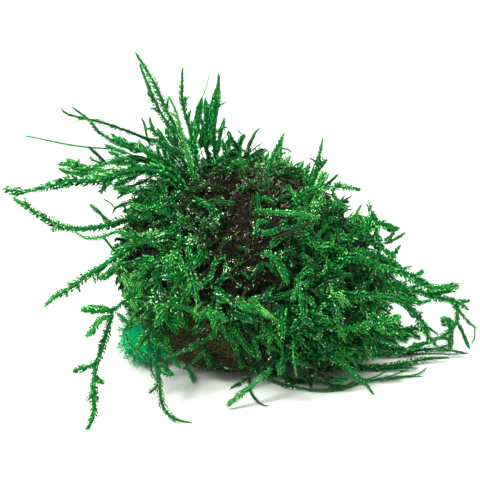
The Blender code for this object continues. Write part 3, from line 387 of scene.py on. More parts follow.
    (0.5, 2.2, 1, 28.2, 24, 31.1, 22.7, 33.8, 20.4),
    (0.45, 2.3, 1, 31.8, 21.3, 35.4, 19.1, 39.4, 18),
    (0.6, 2, 2, 37.6, 16.9, 40.3, 18, 43.4, 17.8),
    (0.46, 2, 1, 34.5, 25.8, 37.1, 24, 39.8, 23.1, 41.6, 21.1, 43.8, 19.9),
    (0.62, 1.6, 1, 36.2, 29.1, 35.4, 30.9, 35.8, 32.5),
    (0.4, 2, 2, 26, 16.4, 29.1, 15.1, 31.3, 12.8),
    (0.5, 2, 2, 25.1, 13.1, 27.3, 12.8, 30, 13.3),
    (0.6, 2, 3, 28.7, 2.9, 30.9, 3.1, 33.8, 4, 36.6, 3.9),
    (0.58, 2, 3, 29.6, 2.2, 32.7, 2.2, 35.6, 1.5),
    (0.48, 1.9, 3, 25.1, 6.9, 28.2, 7.8, 31.2, 7.2),
    (0.56, 1.3, 4, 29.1, 4.7, 30.4, 5.8, 31.5, 6.8),
    (0.5, 1.9, 3, 23.8, 11.6, 25.8, 12.9, 27.8, 13.4, 30, 12.6),
    (0.52, 1.4, 3, 23.8, 1.1, 26.9, 0.9, 30.4, 1.3),
    (0.58, 1.3, 3, 32.2, 1.1, 32.6, -1.4, 32.3, -3.8, 30.9, -6),
    (0.56, 1.5, 1, 33.1, -1.1, 36.7, -0.9, 40.2, -1.2),
    (0.52, 1.4, 1, 32.7, -2.2, 38, -2.8, 40.9, -2.5, 43.7, -1.1),
    (0.5, 1.5, 1, 33.1, -4.3, 36.9, -4.9, 40.3, -3.8, 43.6, -4, 46.2, -4.5),
    (0.48, 1.1, 0, 34.9, -5.3, 40.3, -5.6, 43.4, -4.9),
    (0.36, 1.1, 1, 23.8, -7.7, 28, -7.6, 30.7, -6, 33.6, -5.8),
    (0.16, 1.1, 1, 19.3, -3.6, 22.4, -5.4, 24.3, -7.4),
    (0.5, 1.2, 1, 22.9, -5.4, 25.5, -6, 28.4, -5.8),
    (0.5, 1.1, 3, 26.7, -1.4, 29.1, -4.7, 31.1, -6.5),
    (0.36, 0.9, 2, 16.4, -3.1, 18.3, -6.9),
    (0.52, 1.2, 0, 12.6, -6, 15.7, -7.2, 19.8, -7.7),
    (0.36, 2.2, 3, 17.9, 2.2, 20.6, 0, 22.4, -2.7),
    (0.3, 2.2, 2, 14.4, 2.7, 16.2, -0.5, 17.9, -2.7),
    (0.44, 2.1, 3, 25.5, 5.8, 26.9, 4, 26.9, 1.8),
    (0.5, 1.9, 3, 33.6, 10.2, 36, 8.7, 38.9, 7.6, 42.3, 5.1),
    (0.46, 2.1, 3, 30.4, 11.1, 33.1, 12, 36, 11.4),
    (0.42, 1.7, 1, -12.3, 49.6, -15.9, 51.6, -18.6, 53.3, -21.4, 54.8),
    (0.5, 2.6, 0, -23, 51.2, -25.3, 52.1, -27.7, 53.2, -30.6, 54.4),
    (0.42, 0.9, 1, -24.2, 51.6, -27.1, 53.3, -31.1, 55.7),
    (0.58, 1.3, 0, -26.4, 51.2, -30.4, 51.9, -32.7, 53),
    (0.4, 1.1, 0, -17.2, 51.6, -18.6, 53.6, -19.9, 56.1, -21.2, 59),
    (0.62, 1.2, 0, -23.3, 51.6, -23.7, 53, -23.9, 54.2),
    (0.38, 1.7, 1, -16.8, 46.5, -20.4, 46.5, -23.7, 45.8, -26.2, 44.7, -28.6, 43.2, -31.1, 42.6),
    (0.32, 1.2, 1, -18.1, 43.4, -20.1, 43.8, -23, 43.6, -25.2, 42.7),
    (0.72, 0.9, 1, -18.3, 43.4, -19.5, 44.7, -20.2, 45.8),
    (0.42, 1.5, 2, -22.1, 38.2, -24.8, 38.6, -27.5, 38.2, -29.8, 37.2, -31, 34.8),
    (0.3, 0.7, 0, -29.7, 37.1, -31.1, 38.2, -33, 39.4),
    (0.56, 1.5, 1, -26.4, 41.1, -28.2, 40.5, -29.6, 39),
    (0.6, 1.2, 0, -30.5, 32.5, -32.2, 34.2, -34.2, 36.2, -36.5, 38.2),
    (0.45, 2.2, 3, -21.7, 41.1, -19.5, 38.9, -17.2, 36.2, -15.7, 34.2),
    (0.46, 2, 3, -24.2, 38.5, -21.2, 38.5, -17.9, 37),
    (0.4, 2.1, 2, -21.9, 43.4, -19.5, 42.3, -17.5, 40.2),
    (0.38, 1.4, 2, -12.5, 48.5, -10.1, 46.3, -7.2, 43.4),
    (0.56, 2.2, 0, -10.5, 49.6, -10.3, 53.4, -10.4, 59),
    (0.64, 1.8, 0, -11.4, 50.1, -13, 53.2, -14.1, 55.9, -13.5, 58.6),
    (0.5, 1.8, 0, -10.1, 49.6, -11.4, 53.4, -13.7, 55.4, -15.9, 57.2, -18.1, 59.4),
    (0.5, 1.8, 0, -13.2, 49.6, -14.8, 52.3, -16.3, 54.8, -17.3, 57.4),
    (0.45, 1.4, 0, -16.8, 51, -18.1, 53.9, -19.2, 57.1),
    (0.46, 1.5, 3, -6.1, 37.1, -8.1, 38.2, -10.1, 39.9),
    (0.42, 1.2, 2, -5.2, 48.5, -3.6, 46.5, -1.4, 43.4, -0.9, 40.9),
    (0.5, 1.8, 2, -23.7, 46.5, -26.4, 45.8, -29.3, 46.5, -32.4, 45.6),
    (0.55, 2, 1, -24.4, 48.3, -27.1, 48.5, -30.2, 47.8),
    (0.54, 2, 1, -22.6, 41.6, -25.3, 41.1, -27.9, 42, -30.8, 41.8),
    (0.5, 2, 2, -19.5, 34.9, -22.6, 34.4, -25.3, 34.7, -28.2, 33.6),
    (0.45, 1.8, 3, -13.7, 40.7, -15.9, 38.9, -17.2, 36.7),
    (0.46, 2, 3, -14.6, 32.7, -16.8, 30.4, -19.9, 30),
    (0.44, 2, 3, -9.2, 28.2, -12.3, 28.9, -15.2, 29.5),
    (0.62, 1.6, 1, -28.6, 44.7, -30.2, 45.6, -31.5, 45.2),
    (0.56, 1.7, 1, -31.2, 11.1, -33.5, 12, -35.5, 12, -38.5, 11.7),
    (0.62, 1.6, 1, -31.7, 10.4, -33.5, 9.4, -35, 7.5, -37.1, 4.8),
    (0.58, 1.5, 1, -25.9, 8, -27.9, 9.1, -29.5, 11.1),
    (0.46, 1, 1, -21.4, -0.7, -20.8, -3.9, -19, -7),
    (0.55, 1.2, 1, -18.3, -2.5, -17, -3.6, -15.1, -5),
    (0.55, 1.1, 1, -16.1, -0.7, -13.4, -3.3),
    (0.45, 0.8, 1, -11.6, -3.2, -10.7, -5.4, -10.5, -7),
    (0.5, 1.3, 1, -34.8, -5.4, -33.7, -6.1, -32.6, -7.1),
    (0.3, 0.6, 1, -17.9, -0.7, -17.2, -2.3, -16.1, -4.3),
    (0.5, 0.8, 0, -20.8, 52.5, -22, 55, -22.5, 57.8, -23.5, 60),
    (0.5, 0.9, 0, -11.8, 57.5, -11.5, 59.5, -11, 61.8),
    (0.55, 1.3, 0, -4.2, 51, -3.8, 54.5, -3, 57.5, -2.5, 59.8),
    (0.5, 0.9, 0, 37, 28.2, 39.2, 28.8, 41, 29.8, 42.8, 31),
    (0.55, 1.2, 0, 49.2, 3.5, 46.2, 2.8, 43.2, 2),
    (0.62, 1.4, 0, 54.5, 7, 53, 9, 51.8, 9.8),
    (0.58, 1, 0, 54.5, 7.2, 52.8, 7.8, 51.5, 7.8),
    (0.5, 1, 0, 54.8, 7.5, 54, 9, 53.5, 10),
    (0.5, 1.1, 0, 55.2, 8.5, 56.5, 6.5, 57.5, 4.2, 58.8, 2),
    (0.5, 1, 0, 54, 6.5, 54.2, 4, 53.8, 1.5),
    (0.6, 0.8, 0, -39.5, 18, -39, 16.8, -38.8, 15.8),
    (0.6, 0.8, 0, -42.2, 16.5, -42, 15.5, -42, 14.5),
    (0.6, 0.8, 0, -40.2, 17.8, -41.2, 18.2, -42, 18.5),
    (0.6, 0.9, 0, -35.8, 20.8, -35.2, 19.2, -34.8, 18),
    (0.42, 1.3, 0.5, -12.2, -2, -11.2, -4.2, -10.2, -6.5),
    (0.4, 1, 0, -32.8, 48.8, -35, 51, -36.8, 52.5),
    (0.62, 1.2, 0, -37.8, 47.2, -40.8, 48.2, -44.5, 48),
    (0.6, 1.6, 0, -35, 46.2, -38.8, 45.5, -42.2, 46.2, -44.5, 47.2),
    (0.6, 1.2, 0, -36.2, 47, -39.5, 48, -42.2, 49.5),
    (0.5, 1.6, 0, -21.2, 49, -25.2, 49.5, -28.8, 49, -31.8, 48),
    (0.45, 1.6, 0, -16, 47.5, -20, 46.8, -23.8, 46.2, -27.2, 46),
    (0.42, 1.2, 1, -12.8, 46, -18.2, 49.5, -22.2, 52, -25.5, 53.2),
    (0.5, 1.3, 1, -12.2, 46, -17.8, 48, -21.8, 50.8, -23.8, 53.8),
    (0.38, 1.5, 1, -13.8, 45.5, -18.8, 47.5, -23.2, 49.2, -27.2, 50),
    (0.55, 1.1, 1, -11.2, 47, -15.2, 51, -17.8, 54.5, -19.2, 57),
    (0.46, 1.1, 1, -14.8, 46, -19.8, 47, -24.2, 47.5, -28.8, 48),
    (0.5, 1.2, 0, -21.2, 49, -21.8, 51, -21.2, 53),
    (0.6, 1.2, 0, -27.8, 49, -29.8, 50.5, -31.8, 51.2),
    (0.4, 1.9, 1, -20.8, 45, -23.8, 43.2, -26.8, 42.5, -30.2, 42),
    (0.5, 1.3, 1, -25.2, 43, -26.8, 41.5, -29.2, 40.8),
    (0.55, 1.4, 0, -28.2, 23.5, -30.8, 21.2, -32.8, 19),
    (0.6, 1.2, 0, -29.2, 22, -31.8, 20.5, -34, 20),
    (0.4, 2.4, 1, 33.8, 6.5, 37.2, 4.2, 41.2, 2.8),
    (0.42, 2.2, 1, 34.8, 2.8, 38.8, 1.8, 43.2, 1.5),
    (0.45, 2, 1, 37.2, 5.5, 40.8, 4, 44.2, 4.5),
    (0.32, 1.4, 0, 6.2, -4.2, 10.2, -6.5, 14.2, -7.8, 17.8, -8.2),
    (0.36, 1.4, 0, 12.2, -4.8, 16.2, -7, 20.8, -8),
    (0.4, 1.3, 0, 17.8, -5.2, 23.8, -7.2, 29.2, -7.8),
    (0.45, 1.8, 1, 37.2, 17.5, 41.2, 16, 45.8, 14.5),
    (0.5, 1.5, 1, 0.2, 50, 1.2, 53.5, 2.8, 55.5),
    (0.45, 1.5, 1, -2.2, 51.5, -1, 54.5, -1.8, 56.5),
    (0.5, 1.1, 0, -21.8, 47.5, -21.2, 50, -22.2, 52),
    (0.56, 1.1, 0, -18.2, 49.5, -19.2, 51.5, -18.8, 53.5),
    (0.45, 1.1, 0, -24.8, 46.5, -25.8, 48.5, -27.8, 49.5),
    (0.6, 1, 0, -30.8, 43.5, -32.8, 42, -33.5, 40.2),
    (0.5, 1.1, 0, -16.2, 50, -14.2, 52, -14.8, 54.5),
    (0.5, 1.8, 1, 17, 42.2, 17.8, 45.8, 19, 48.5),
    (0.62, 1.5, 0, -28.2, 45, -31.2, 45.5, -34.2, 45, -36.8, 46),
    (0.66, 1.3, 0, -29.2, 46.5, -32.2, 46.2, -35.2, 46.8),
    (0.46, 1.4, 0, -24.8, 44.5, -27.8, 44, -30.5, 43.2),
    (0.55, 1.5, 0, -28.8, 22, -31.5, 20.2, -33.8, 19),
    (0.34, 0.9, 0, 40, -0.5, 46.2, -0.2, 52.5, 0.2, 58.8, 0.5),
    (0.4, 1.2, 0, 40.8, 16, 43.8, 15, 46.2, 13.8),
    (0.68, 1.5, 1, 12, 46, 13, 48.5, 14.2, 50.2),
    (0.7, 1.3, 1, 13, 45, 14, 47.5, 14.5, 49.5),
    (0.66, 1.2, 1, 8.8, 47.8, 9.2, 49.5, 10, 51.5),
    (0.6, 1.5, 1, 6.8, 47, 7.8, 49.5, 8.8, 51.5),
    (0.55, 1.2, 1, 14.2, 44.5, 15.8, 46.5, 17.5, 48.5),
    (0.66, 1.4, 0, 20.8, 41, 22, 44, 21.8, 46.5),
    # Painted shade: these real sprigs take dark tints to stand for the shade under the ball's
    # right front
    (0.26, 1.8, 1, 3.8, 5.2, 5.2, 1.5, 6.8, -2.5),
    (0.26, 2, 1, 6.8, 6.5, 7.8, 2, 8.8, -2.5),
    (0.24, 2, 1, 8.8, 5.2, 9.8, 1, 10.5, -3.5),
    (0.27, 1.6, 1, 2, 2, 3.8, -1, 5.2, -3.5),
    (0.24, 1.8, 0, 3.2, -1.5, 6.8, -3.2, 10.2, -4.2),
    (0.26, 1.6, 0, 4.2, -2.8, 7.8, -4.2, 12.2, -5.2),
    (0.28, 1.4, 0, 11.2, 4, 12.2, 0, 12, -4),
    (0.42, 2, 2, -17.2, 14, -16.2, 10.2, -15.5, 6.5),
    (0.5, 1.8, 2, -15.8, 14, -14.5, 10.5, -13.8, 6),
    (0.42, 1.6, 2, -14.2, 12.8, -12.8, 9.5, -12.2, 6.5),
    (0.44, 1.2, 1, -8, 1.5, -6.8, -0.5, -6.2, -2.5),
    (0.5, 0.6, 1, -8, 0.5, -9.5, -1, -11, -2),
    # Painted shade: these real sprigs take dark tints to stand for the shade along the ball's
    # bottom edge
    (0.24, 1.4, 0.5, -8.8, -2.2, -5.8, -3.2, -2.8, -3.5),
    (0.26, 1.2, 0.5, -5.8, -1.2, -2.2, -2.5, 1.2, -3.2),
    (0.8, 1.3, 4.5, -27.5, 20.5, -26.8, 17.8, -26, 14.8),
    (0.78, 1.2, 4.5, -25.8, 19.8, -25.2, 16.5, -24.2, 13.8),
    (0.76, 1.2, 4.5, -23.8, 18, -23, 15, -21.8, 12.2),
    (0.72, 1.2, 4.5, -27, 16.5, -26, 13.5, -24.2, 11.2),
    (0.66, 1.1, 1, 24.8, 40, 26.5, 38, 28.5, 36.5),
    (0.7, 1.2, 1, 29.2, 33.5, 30.8, 36, 31.8, 38.2),
]

# The broad smooth sprigs among them, in the same way, with their width in mm
BLADES = [
    (0.4, 1.9, 1, 18, 39.2, 18.8, 43.5, 20, 48.2),
    (0.44, 2.3, 0, -10.2, 53.5, -9.5, 57.8, -8.8, 61.5, -8.2, 64.8),
    (0.46, 3.1, 0, -6.8, 51.5, -6, 56.5, -5.2, 61, -4.5, 65.2, -4, 68.5),
    (0.5, 1, 0, -4.2, 66.5, -4, 69, -4.1, 71),
    (0.44, 2.2, 0, -7.8, 52.8, -7.2, 57.8, -7, 61.5, -7.5, 64.8),
    (0.4, 2, 0, -9, 51.5, -8.2, 54.5, -7.8, 57.8),
    (0.38, 1.8, 1, -4.2, 51, -5.2, 53.5, -5.8, 56.5),
    (0.34, 1.5, 2.5, 3, 47, 3.5, 49.2, 5.2, 50.8, 7, 51.9, 8.2, 52, 8.6, 51.2),
    (0.36, 0.9, 0, 0.8, 52, -0.5, 53.2, -1.2, 55),
    (0.36, 1.5, 3.4, -7, 52, -6, 47, -5, 42.5, -5.2, 39, -6.5, 36.8),
    (0.56, 2.5, 8.5, 2, 12.5, 4.8, 11.8, 8, 10.5, 11.1, 8.2),
    (0.82, 1.7, 9.1, 6.8, 11.2, 9, 10, 10.9, 8.5),
    (0.42, 2, 8, -16.2, 13.2, -13.2, 12.5, -10.5, 11.2, -8, 9.8),
    (0.8, 1, 8.6, -10.2, 11.2, -8, 9.8),
]

# Where the green is thin and old brown moss shows: across and up the view, and how wide
OLD_PATCHES = [(-9, 42, 5.5), (-6, 36, 5.5), (-2, 42, 5.5), (2, 45, 4), (4, 38, 5), (10, 43, 6),
               (15, 43, 4), (24, 40, 3), (-25.5, 31.5, 2.5), (-24, 26.5, 2.5), (-19.5, 31.5, 2.5),
               (2.5, 32, 7.5), (0, 24, 6.5), (4, 18, 6.5), (10, 32, 3), (18, 27, 3), (22, 26, 2.5),
               (-10, 13, 2.5), (-14, 7, 3), (-9, 5, 4), (2, 2, 3), (6, 6, 3), (20, 12, 2)]

# Where the dead fibres in the front hollow get painted shade, nearly black, across and up the
# view, and how wide that is
DARK_MIDDLE = (3, 20)
DARK_REACH = 7.5

# Where the crown's lit side gets painted light, paler moss and dead fibres, across and up the
# view, and how wide
CROWN_MIDDLE = (11, 44)
CROWN_REACH = 9.0

# Where little moss hangs over the ball and the wadding: ranges across and up the view
BARE_PLACES = [((-17, 4), (-4, 8)), ((-31, -21.5), (0, 9.5))]

# How far the coat reaches from the middle of the front view, every OUTLINE_STEP degrees from
# the right and over the top
OUTLINE_MIDDLE = (0, 20)
OUTLINE_STEP = 15
OUTLINE_REACH = (40, 39, 34, 31.5, 32, 32.5, 33, 34, 35.5, 33, 32.5, 30,
                 28.2, 26.5, 29.5, 30, 27, 25.5, 25, 26.5, 29, 34, 41, 40)

# Each leafy mesh carries two numbers at every corner in this map: how fresh its leaf is, and how
# near the leaf's tip the corner is, lowered deep in the coat; the second sets the painted shade
MARKS_MAP = "OFBake"
MARK_MARGIN = 0.002

# Where the moss's colours lie along the first number. Past FRESHEST lies the painted glint: a
# near-white colour that stands in for a highlight on a wet leaf.
FRESHEST = 0.88
MOSS_STOPS = {"old": 0.0, "dull": 0.14, "deep": 0.26, "full": 0.5, "light": 0.7,
              "tip": FRESHEST, "painted_glint": 1.0}

# A leaf's brightness at its root, and how much it gains towards its tip: painted shade at the
# root, under the stem and the leaves over it, and a paler tip, partly its own and partly painted
# light
LEAF_DARKEST = 0.03
LEAF_GAIN = 3.1

# Where leaves most often get a painted glint in the front view, where the light falls, how wide
# that is, and how often they get one elsewhere and more there, as shares of their look's glints
PAINTED_GLINT_MIDDLE = (-9, 25)
PAINTED_GLINT_REACH = 17.0
PAINTED_GLINT_SHARES = (0.5, 2.6)

# A shoot's painted glints lie in one short row: half its length as a share of the shoot's, how
# many shoots have one, and how much more often leaves get a painted glint in it
GLINT_ROW = 0.12
GLINT_ROW_SHARE = 0.8
GLINT_ROW_GAIN = 5

# How leaves sit on a shoot: how many there are, the bare share of the stem at its root, how
# loosely they keep their rows, how far they stand off, how flat the shoot is, and their sizes as
# shares of the shoot's leafy width
COAT_LEAVES = {"per_mm": 7.0, "bare": 0.02, "loose": 0.25, "lean": 0.72, "flat": 1.15,
               "faced": 5, "length": 0.54, "width": 0.26, "thick": 0.4, "body": 0.17,
               "narrow": 0.6, "fresh_tip": 0.16, "mixed": 0.2, "painted_glint": 0.045}
TANGLE_LEAVES = {"per_mm": 3.0, "bare": 0.05, "loose": 0.9, "lean": 0.8, "flat": 0.6,
                 "faced": 3, "length": 0.55, "width": 0.22, "thick": 0.5, "body": 0.06,
                 "narrow": 0.4, "fresh_tip": 0.08, "mixed": 0.14, "painted_glint": 0.05}
SHOOT_LEAVES = {"per_mm": 8.0, "bare": 0.02, "loose": 0.5, "lean": 0.75, "flat": 0.8,
                "faced": 3, "length": 0.66, "width": 0.27, "thick": 0.5, "body": 0.2,
                "narrow": 0.55, "fresh_tip": 0.2, "mixed": 0.18, "painted_glint": 0.03}
STUB_LEAVES = {**SHOOT_LEAVES, "lean": 0.85, "length": 0.34, "width": 0.15, "body": 0.27,
               "narrow": 0.0, "per_mm": 20.0, "loose": 1.5, "fresh_tip": 0.0, "mixed": 0.3,
               "painted_glint": 0.04}

# The same for the listed sprigs and blades, and for each: its leafy width from the width in its
# row, its stem's share of that, and how far its flat face strays
SPRIG_LEAVES = {**COAT_LEAVES, "per_mm": 11.5, "faced": 6, "loose": 0.35, "mixed": 0.14,
                "narrow": 0.4, "length": 0.42, "width": 0.2, "body": 0.22, "painted_glint": 0.03,
                "wider": 0.28, "times": 1.02, "stem": 0.3, "stray": 0.5}
BLADE_LEAVES = {**SPRIG_LEAVES, "loose": 0.3, "lean": 0.6, "mixed": 0.1, "per_mm": 15.0,
                "length": 0.38, "width": 0.16, "body": 0.24, "narrow": 0.6, "painted_glint": 0.01,
                "wider": 0.0, "times": 1.05, "stem": 0.42, "stray": 0.15}

# Where along its shoot the last leaf is, how far leaves close up towards the tip, how they stray
# in lean and roll, how their sizes wave (height, speed, start) and how they vary
LAST_LEAF = 0.985
LEAF_CLOSING = 0.55
LEAF_LEAN_STRAY = 0.09
LEAF_ROLL_STRAY = 0.25
LEAF_WAVE = (0.18, 11, 2.4)
LEAF_SIZES = (0.8, 1.2)
LEAF_LOWEST = 0.05

# A stem's place on the leaves' painted shade from root to tip, and how much older it is at its
# root
STEM_MARK = 0.42
STEM_AGEING = 0.1

# Painted shade in the coat: leaves darken from a little above the coat's outside to this much
# further in, by this share
SUNK_FROM = 0.6
SUNK_DEPTH = 2.8
SUNK_PAINTED_SHADE = 0.62

# How ragged the outline is, how low a path may come, how much and how often a path past them is
# drawn in before it is given up, and the share given up where it would hide a bare place
OUTLINE_RAGGED = (-1.5, 3.0)
PATH_LOWEST = 1.2
SHRINK = 0.8
SHRINK_TRIES = 5
BARE_GIVEN_UP = 0.75

# Small twigs on the coat's sprigs: their spread in radians, their length as a share of the rest
# of the sprig, how they bend, their width as a share, how much fresher they are, and their points
SPRIG_TWIG_SPREAD = (0.5, 0.95)
SPRIG_TWIG_LENGTHS = (0.35, 0.8)
SPRIG_TWIG_DROOP = np.array((0, 0, -0.2))
SPRIG_TWIG_WIDTH = 0.85
SPRIG_TWIG_FRESHER = 0.06
SPRIG_TWIG_KNOTS = 5

# The coat's green sprigs by the side of the ball they are on: compass angles from +X, and none
# for the crown, which is what faces up at least this much
COAT_SIDES = {"moss_crown": None, "moss_right": (300, 390), "moss_front": (200, 300),
              "moss_left": (120, 200), "moss_back": (30, 120)}
CROWN_UPNESS = 0.62

# How loose fibres and old sprigs lie: how steeply they rise, their lengths, the radius that they
# bend round, or None where they curl, how they wander, how many points they have, and their own
STRANDS = {"rise": 0.1, "length": (4, 9), "radius": CORE_RADIUS, "wander": 0.5, "knots": 7,
           "margin": 16, "least_upness": -0.8}
TANGLE = {"rise": 0.22, "length": (4, 9), "radius": 26, "wander": 0.9, "knots": 6,
          "depth": 1.6, "width": (0.8, 1.5), "stem": 0.12,
          "tint": 0.22, "old": 0.14, "chance": 0.05, "crown": 0.16}
DEAD_FIBRES = {"rise": 0.5, "length": (1.2, 3.2), "radius": None, "wander": 2.6, "knots": 5,
               "thick": 0.1, "often": 1.3, "crown_lift": 2.1, "rare_pale": 1.6,
               "crown_painted_light": 1.15, "hollow_painted_shade": 0.85}

# How low a loose fibre may lie, and how far out in the wadding its filaments start, as a share
FIBRE_LOWEST = 0.15
FILAMENT_ROOTS = 0.86

# The coat's green sprigs: the share that is missing where it is old, how deep their roots are,
# how far they rise off it, their lengths and widths as shares of the settings, and their droop
COAT_THINNING = 0.88
COAT_DEPTHS = (0.8, 2.4)
COAT_RISES = (0.1, 0.45)
COAT_LENGTHS = (0.6, 1.45)
COAT_WIDTHS = (0.6, 1.1)
COAT_DROOP = np.array((0, 0, -0.3))

# What changes their tints: smooth patches, chance, old moss, depth as painted shade, the layer of
# long sprigs, the lit crown as painted light and the front, and the oldest that they get
TINTS = {"patches": 0.2, "chance": 0.09, "old": 0.36, "deep": 0.05, "long": 0.04,
         "crown": 0.14, "front": 0.07, "least": 0.22}

# How they flow: on the bulge, on the left, underneath, everywhere, and at random, in drifts of
# some size, how much of that they follow, and how many points they have
BULGE_FLOW = np.array((0.7, 0, -0.6))
LEFT_FLOW = np.array((-0.6, -0.2, 0.2))
LOW_FLOW = np.array((0.2, 0, -0.4))
OUTWARD_FLOW = np.array((0.5, 0.5, 0.2))
DRIFT_FLOW = 0.9
DRIFT_SIZE = 12.0
FLOW_SHARE = 0.65
SPRIG_KNOTS = 7

# The listed sprigs: how many rounds it takes to find their places, how far over the felt they
# run, how low they may come, how deep their roots are, how far inside the coat a joint may lie,
# and how near it the first point is left out
SETTLE_ROUNDS = 6
SPRIG_CLEAR = 0.5
SPRIG_LOWEST = 0.9
SPRIG_ROOT_DEPTH = 2.5
JOINT_INSIDE = 0.5
JOINT_REACH = 0.8
SPRIG_FACING = np.array([[0, -1.2, 0.4]])
STANDING_KNOTS = 10
CARRIER_KNOTS = 40

# Long shoots: how many points they have, how far from the ball's middle they start, which way
# their flat side looks and how that strays, their stem's share of their leafy width, and the look
# of those not in SHOOT_LOOKS. The stub in front has a thin dark root that its leaves overlap.
SHOOT_KNOTS = 26
SHOOT_ROOT_RADIUS = 26.0
SHOOT_FACING = np.array([[0.15, -1, 0.35]])
SHOOT_FACING_STRAY = 0.25
SHOOT_STEM = 0.27
SHOOT_USUAL_LOOK = (0.52, 0.5, 1)
STUB = "front_stub"
STUB_ROOT_KNOTS = 10
STUB_ROOT_RADIUS = 0.3
STUB_ROOT_TINT = 0.3
STUB_LEAFY_KNOT = 8
STUB_STEM = 0.3

# Side twigs of the long shoots: how many points before the nearest one they leave the stem, their
# bend, their width as a share and at least, their stem's share of it, and their added freshness
TWIG_START = 2
TWIG_BEND = 0.15
TWIG_WIDTH = 0.8
TWIG_LEAST_WIDTH = 0.9
TWIG_STEM = 0.22
TWIG_FRESHER = 0.08
TWIG_KNOTS = 8
TWIG_FACING = np.array([[0.1, -1, 0.3]])

# Where the lights look, in metres
LIT_PLACE = (0, 0, 0.03)


class Wire:
    """A shader socket that takes part in Python expressions."""

    def __init__(self, finish, socket):
        self.finish = finish
        self.socket = socket

    def maths(self, operation, first, second):
        """A Math node on two values or wires."""
        return self.finish.node("ShaderNodeMath", {"operation": operation},
                                {0: first, 1: second})

    def __add__(self, other):
        return self.maths("ADD", self, other)

    __radd__ = __add__

    def __mul__(self, other):
        return self.maths("MULTIPLY", self, other)

    __rmul__ = __mul__


class Finish:
    """A material in the making, on one Principled shader."""

    def __init__(self, name, **settings):
        self.material = bpy.data.materials.new(name)
        self.material.use_nodes = True
        self.tree = self.material.node_tree
        self.shader = self.tree.nodes["Principled BSDF"]
        for socket, value in settings.items():
            self.shader.inputs[socket.replace("_", " ")].default_value = value

    def node(self, kind, settings=None, inputs=None, output=0):
        """Any node: its settings are set first, then its sockets, by name or number."""
        made = self.tree.nodes.new(kind)
        for key, value in (settings or {}).items():
            if key == "stops":
                self.set_stops(made.color_ramp, value)
            else:
                setattr(made, key, value)
        for key, value in (inputs or {}).items():
            if isinstance(value, Wire):
                self.tree.links.new(value.socket, made.inputs[key])
            else:
                made.inputs[key].default_value = value
        return Wire(self, made.outputs[output])

    def set_stops(self, ramp, stops):
        """The places and colours of a ramp."""
        while len(ramp.elements) < len(stops):
            ramp.elements.new(1.0)
        for element, (place, colour) in zip(ramp.elements, stops):
            element.position = place
            element.color = (*colour, 1)

    def place(self):
        """Where on its object a shaded point is."""
        return self.node("ShaderNodeTexCoord", output="Object")

    def marks(self):
        """The two numbers in a leafy mesh's map."""
        chart = self.node("ShaderNodeUVMap", {"uv_map": MARKS_MAP})
        first = self.node("ShaderNodeSeparateXYZ", inputs={0: chart})
        return first, Wire(self, first.socket.node.outputs[1])

    def grain(self, where, scale, detail, roughness, distortion):
        """A fine noise."""
        return self.node("ShaderNodeTexNoise", inputs={
            "Vector": where, "Scale": scale, "Detail": detail, "Roughness": roughness,
            "Distortion": distortion})

    def ramp(self, wire, stops):
        """The colour that a wire's value stands for."""
        return self.node("ShaderNodeValToRGB", {"stops": stops}, {0: wire})

    def multiply(self, colour, shade):
        """A colour made darker or lighter: sockets 6 and 7 of a Mix node are its two colours."""
        grey = self.node("ShaderNodeCombineXYZ", inputs={0: shade, 1: shade, 2: shade})
        return self.node("ShaderNodeMix", {"data_type": "RGBA", "blend_type": "MULTIPLY"},
                         {0: 1.0, 6: colour, 7: grey}, output=2)

    def drive(self, socket, wire):
        """Let a wire drive one of the shader's sockets."""
        self.tree.links.new(wire.socket, self.shader.inputs[socket])

    def raise_by(self, height, strength, distance):
        """Bumps of a height that a wire gives."""
        self.drive("Normal", self.node("ShaderNodeBump", inputs={
            "Strength": strength, "Distance": distance, "Height": height}))


def unit(vectors):
    """Rows scaled to length one."""
    lengths = np.linalg.norm(vectors, axis=-1, keepdims=True)
    return vectors / np.maximum(lengths, 1e-9)


def lumps(places, size, shift=0.0):
    """A smooth random value between about -1 and 1 at each place."""
    return np.array([noise.noise(Vector(place) / size + Vector((shift, 0, 0)))
                     for place in places])


def rough(places, layers):
    """Lumps of several heights and sizes at each place."""
    return sum(height * lumps(places, size) for height, size in layers)


def drift_at(places, size):
    """A smooth random vector at each place."""
    return np.stack([lumps(places, size, 17.0 * axis) for axis in range(3)], axis=1)


def from_view(across, up, near, rest=0.8):
    """The place in the object of a point of the front view."""
    slope = (up - VIEW_AIM_UP) / VIEW_DISTANCE
    if near is FLOOR:
        height = rest - VIEW_AIM[2]
        rise = height * TILT_COS - slope * (VIEW_DISTANCE - height * TILT_SIN)
        away = rise / (slope * TILT_COS - TILT_SIN)
    else:
        away = -near
        height = (slope * (VIEW_DISTANCE + away * TILT_COS) - away * TILT_SIN) / (
            TILT_COS + slope * TILT_SIN)
    distance = VIEW_DISTANCE + away * TILT_COS - height * TILT_SIN
    sideways = VIEW_AIM[0] + (across - VIEW_AIM[0]) / VIEW_DISTANCE * distance
    return np.array((sideways, away, VIEW_AIM[2] + height))


def to_view(places):
    """How far across and up the front view each place is seen."""
    offset = places - np.array(VIEW_AIM)
    rise = offset[:, 2] * TILT_COS + offset[:, 1] * TILT_SIN
    nearer = -offset[:, 1] * TILT_COS + offset[:, 2] * TILT_SIN
    scale = VIEW_DISTANCE / (VIEW_DISTANCE - nearer)
    return VIEW_AIM[0] + offset[:, 0] * scale, VIEW_AIM_UP + rise * scale


def seen_from(places, middle):
    """How far from a point of the front view each place is seen."""
    across, up = to_view(places)
    return np.hypot(across - middle[0], up - middle[1])


def resampled(path, count):
    """The same path with another number of points, evenly spread over its old ones."""
    spot = np.linspace(0, len(path) - 1, count)
    steps = np.arange(len(path))
    return np.stack([np.interp(spot, steps, path[:, axis]) for axis in range(3)], axis=1)


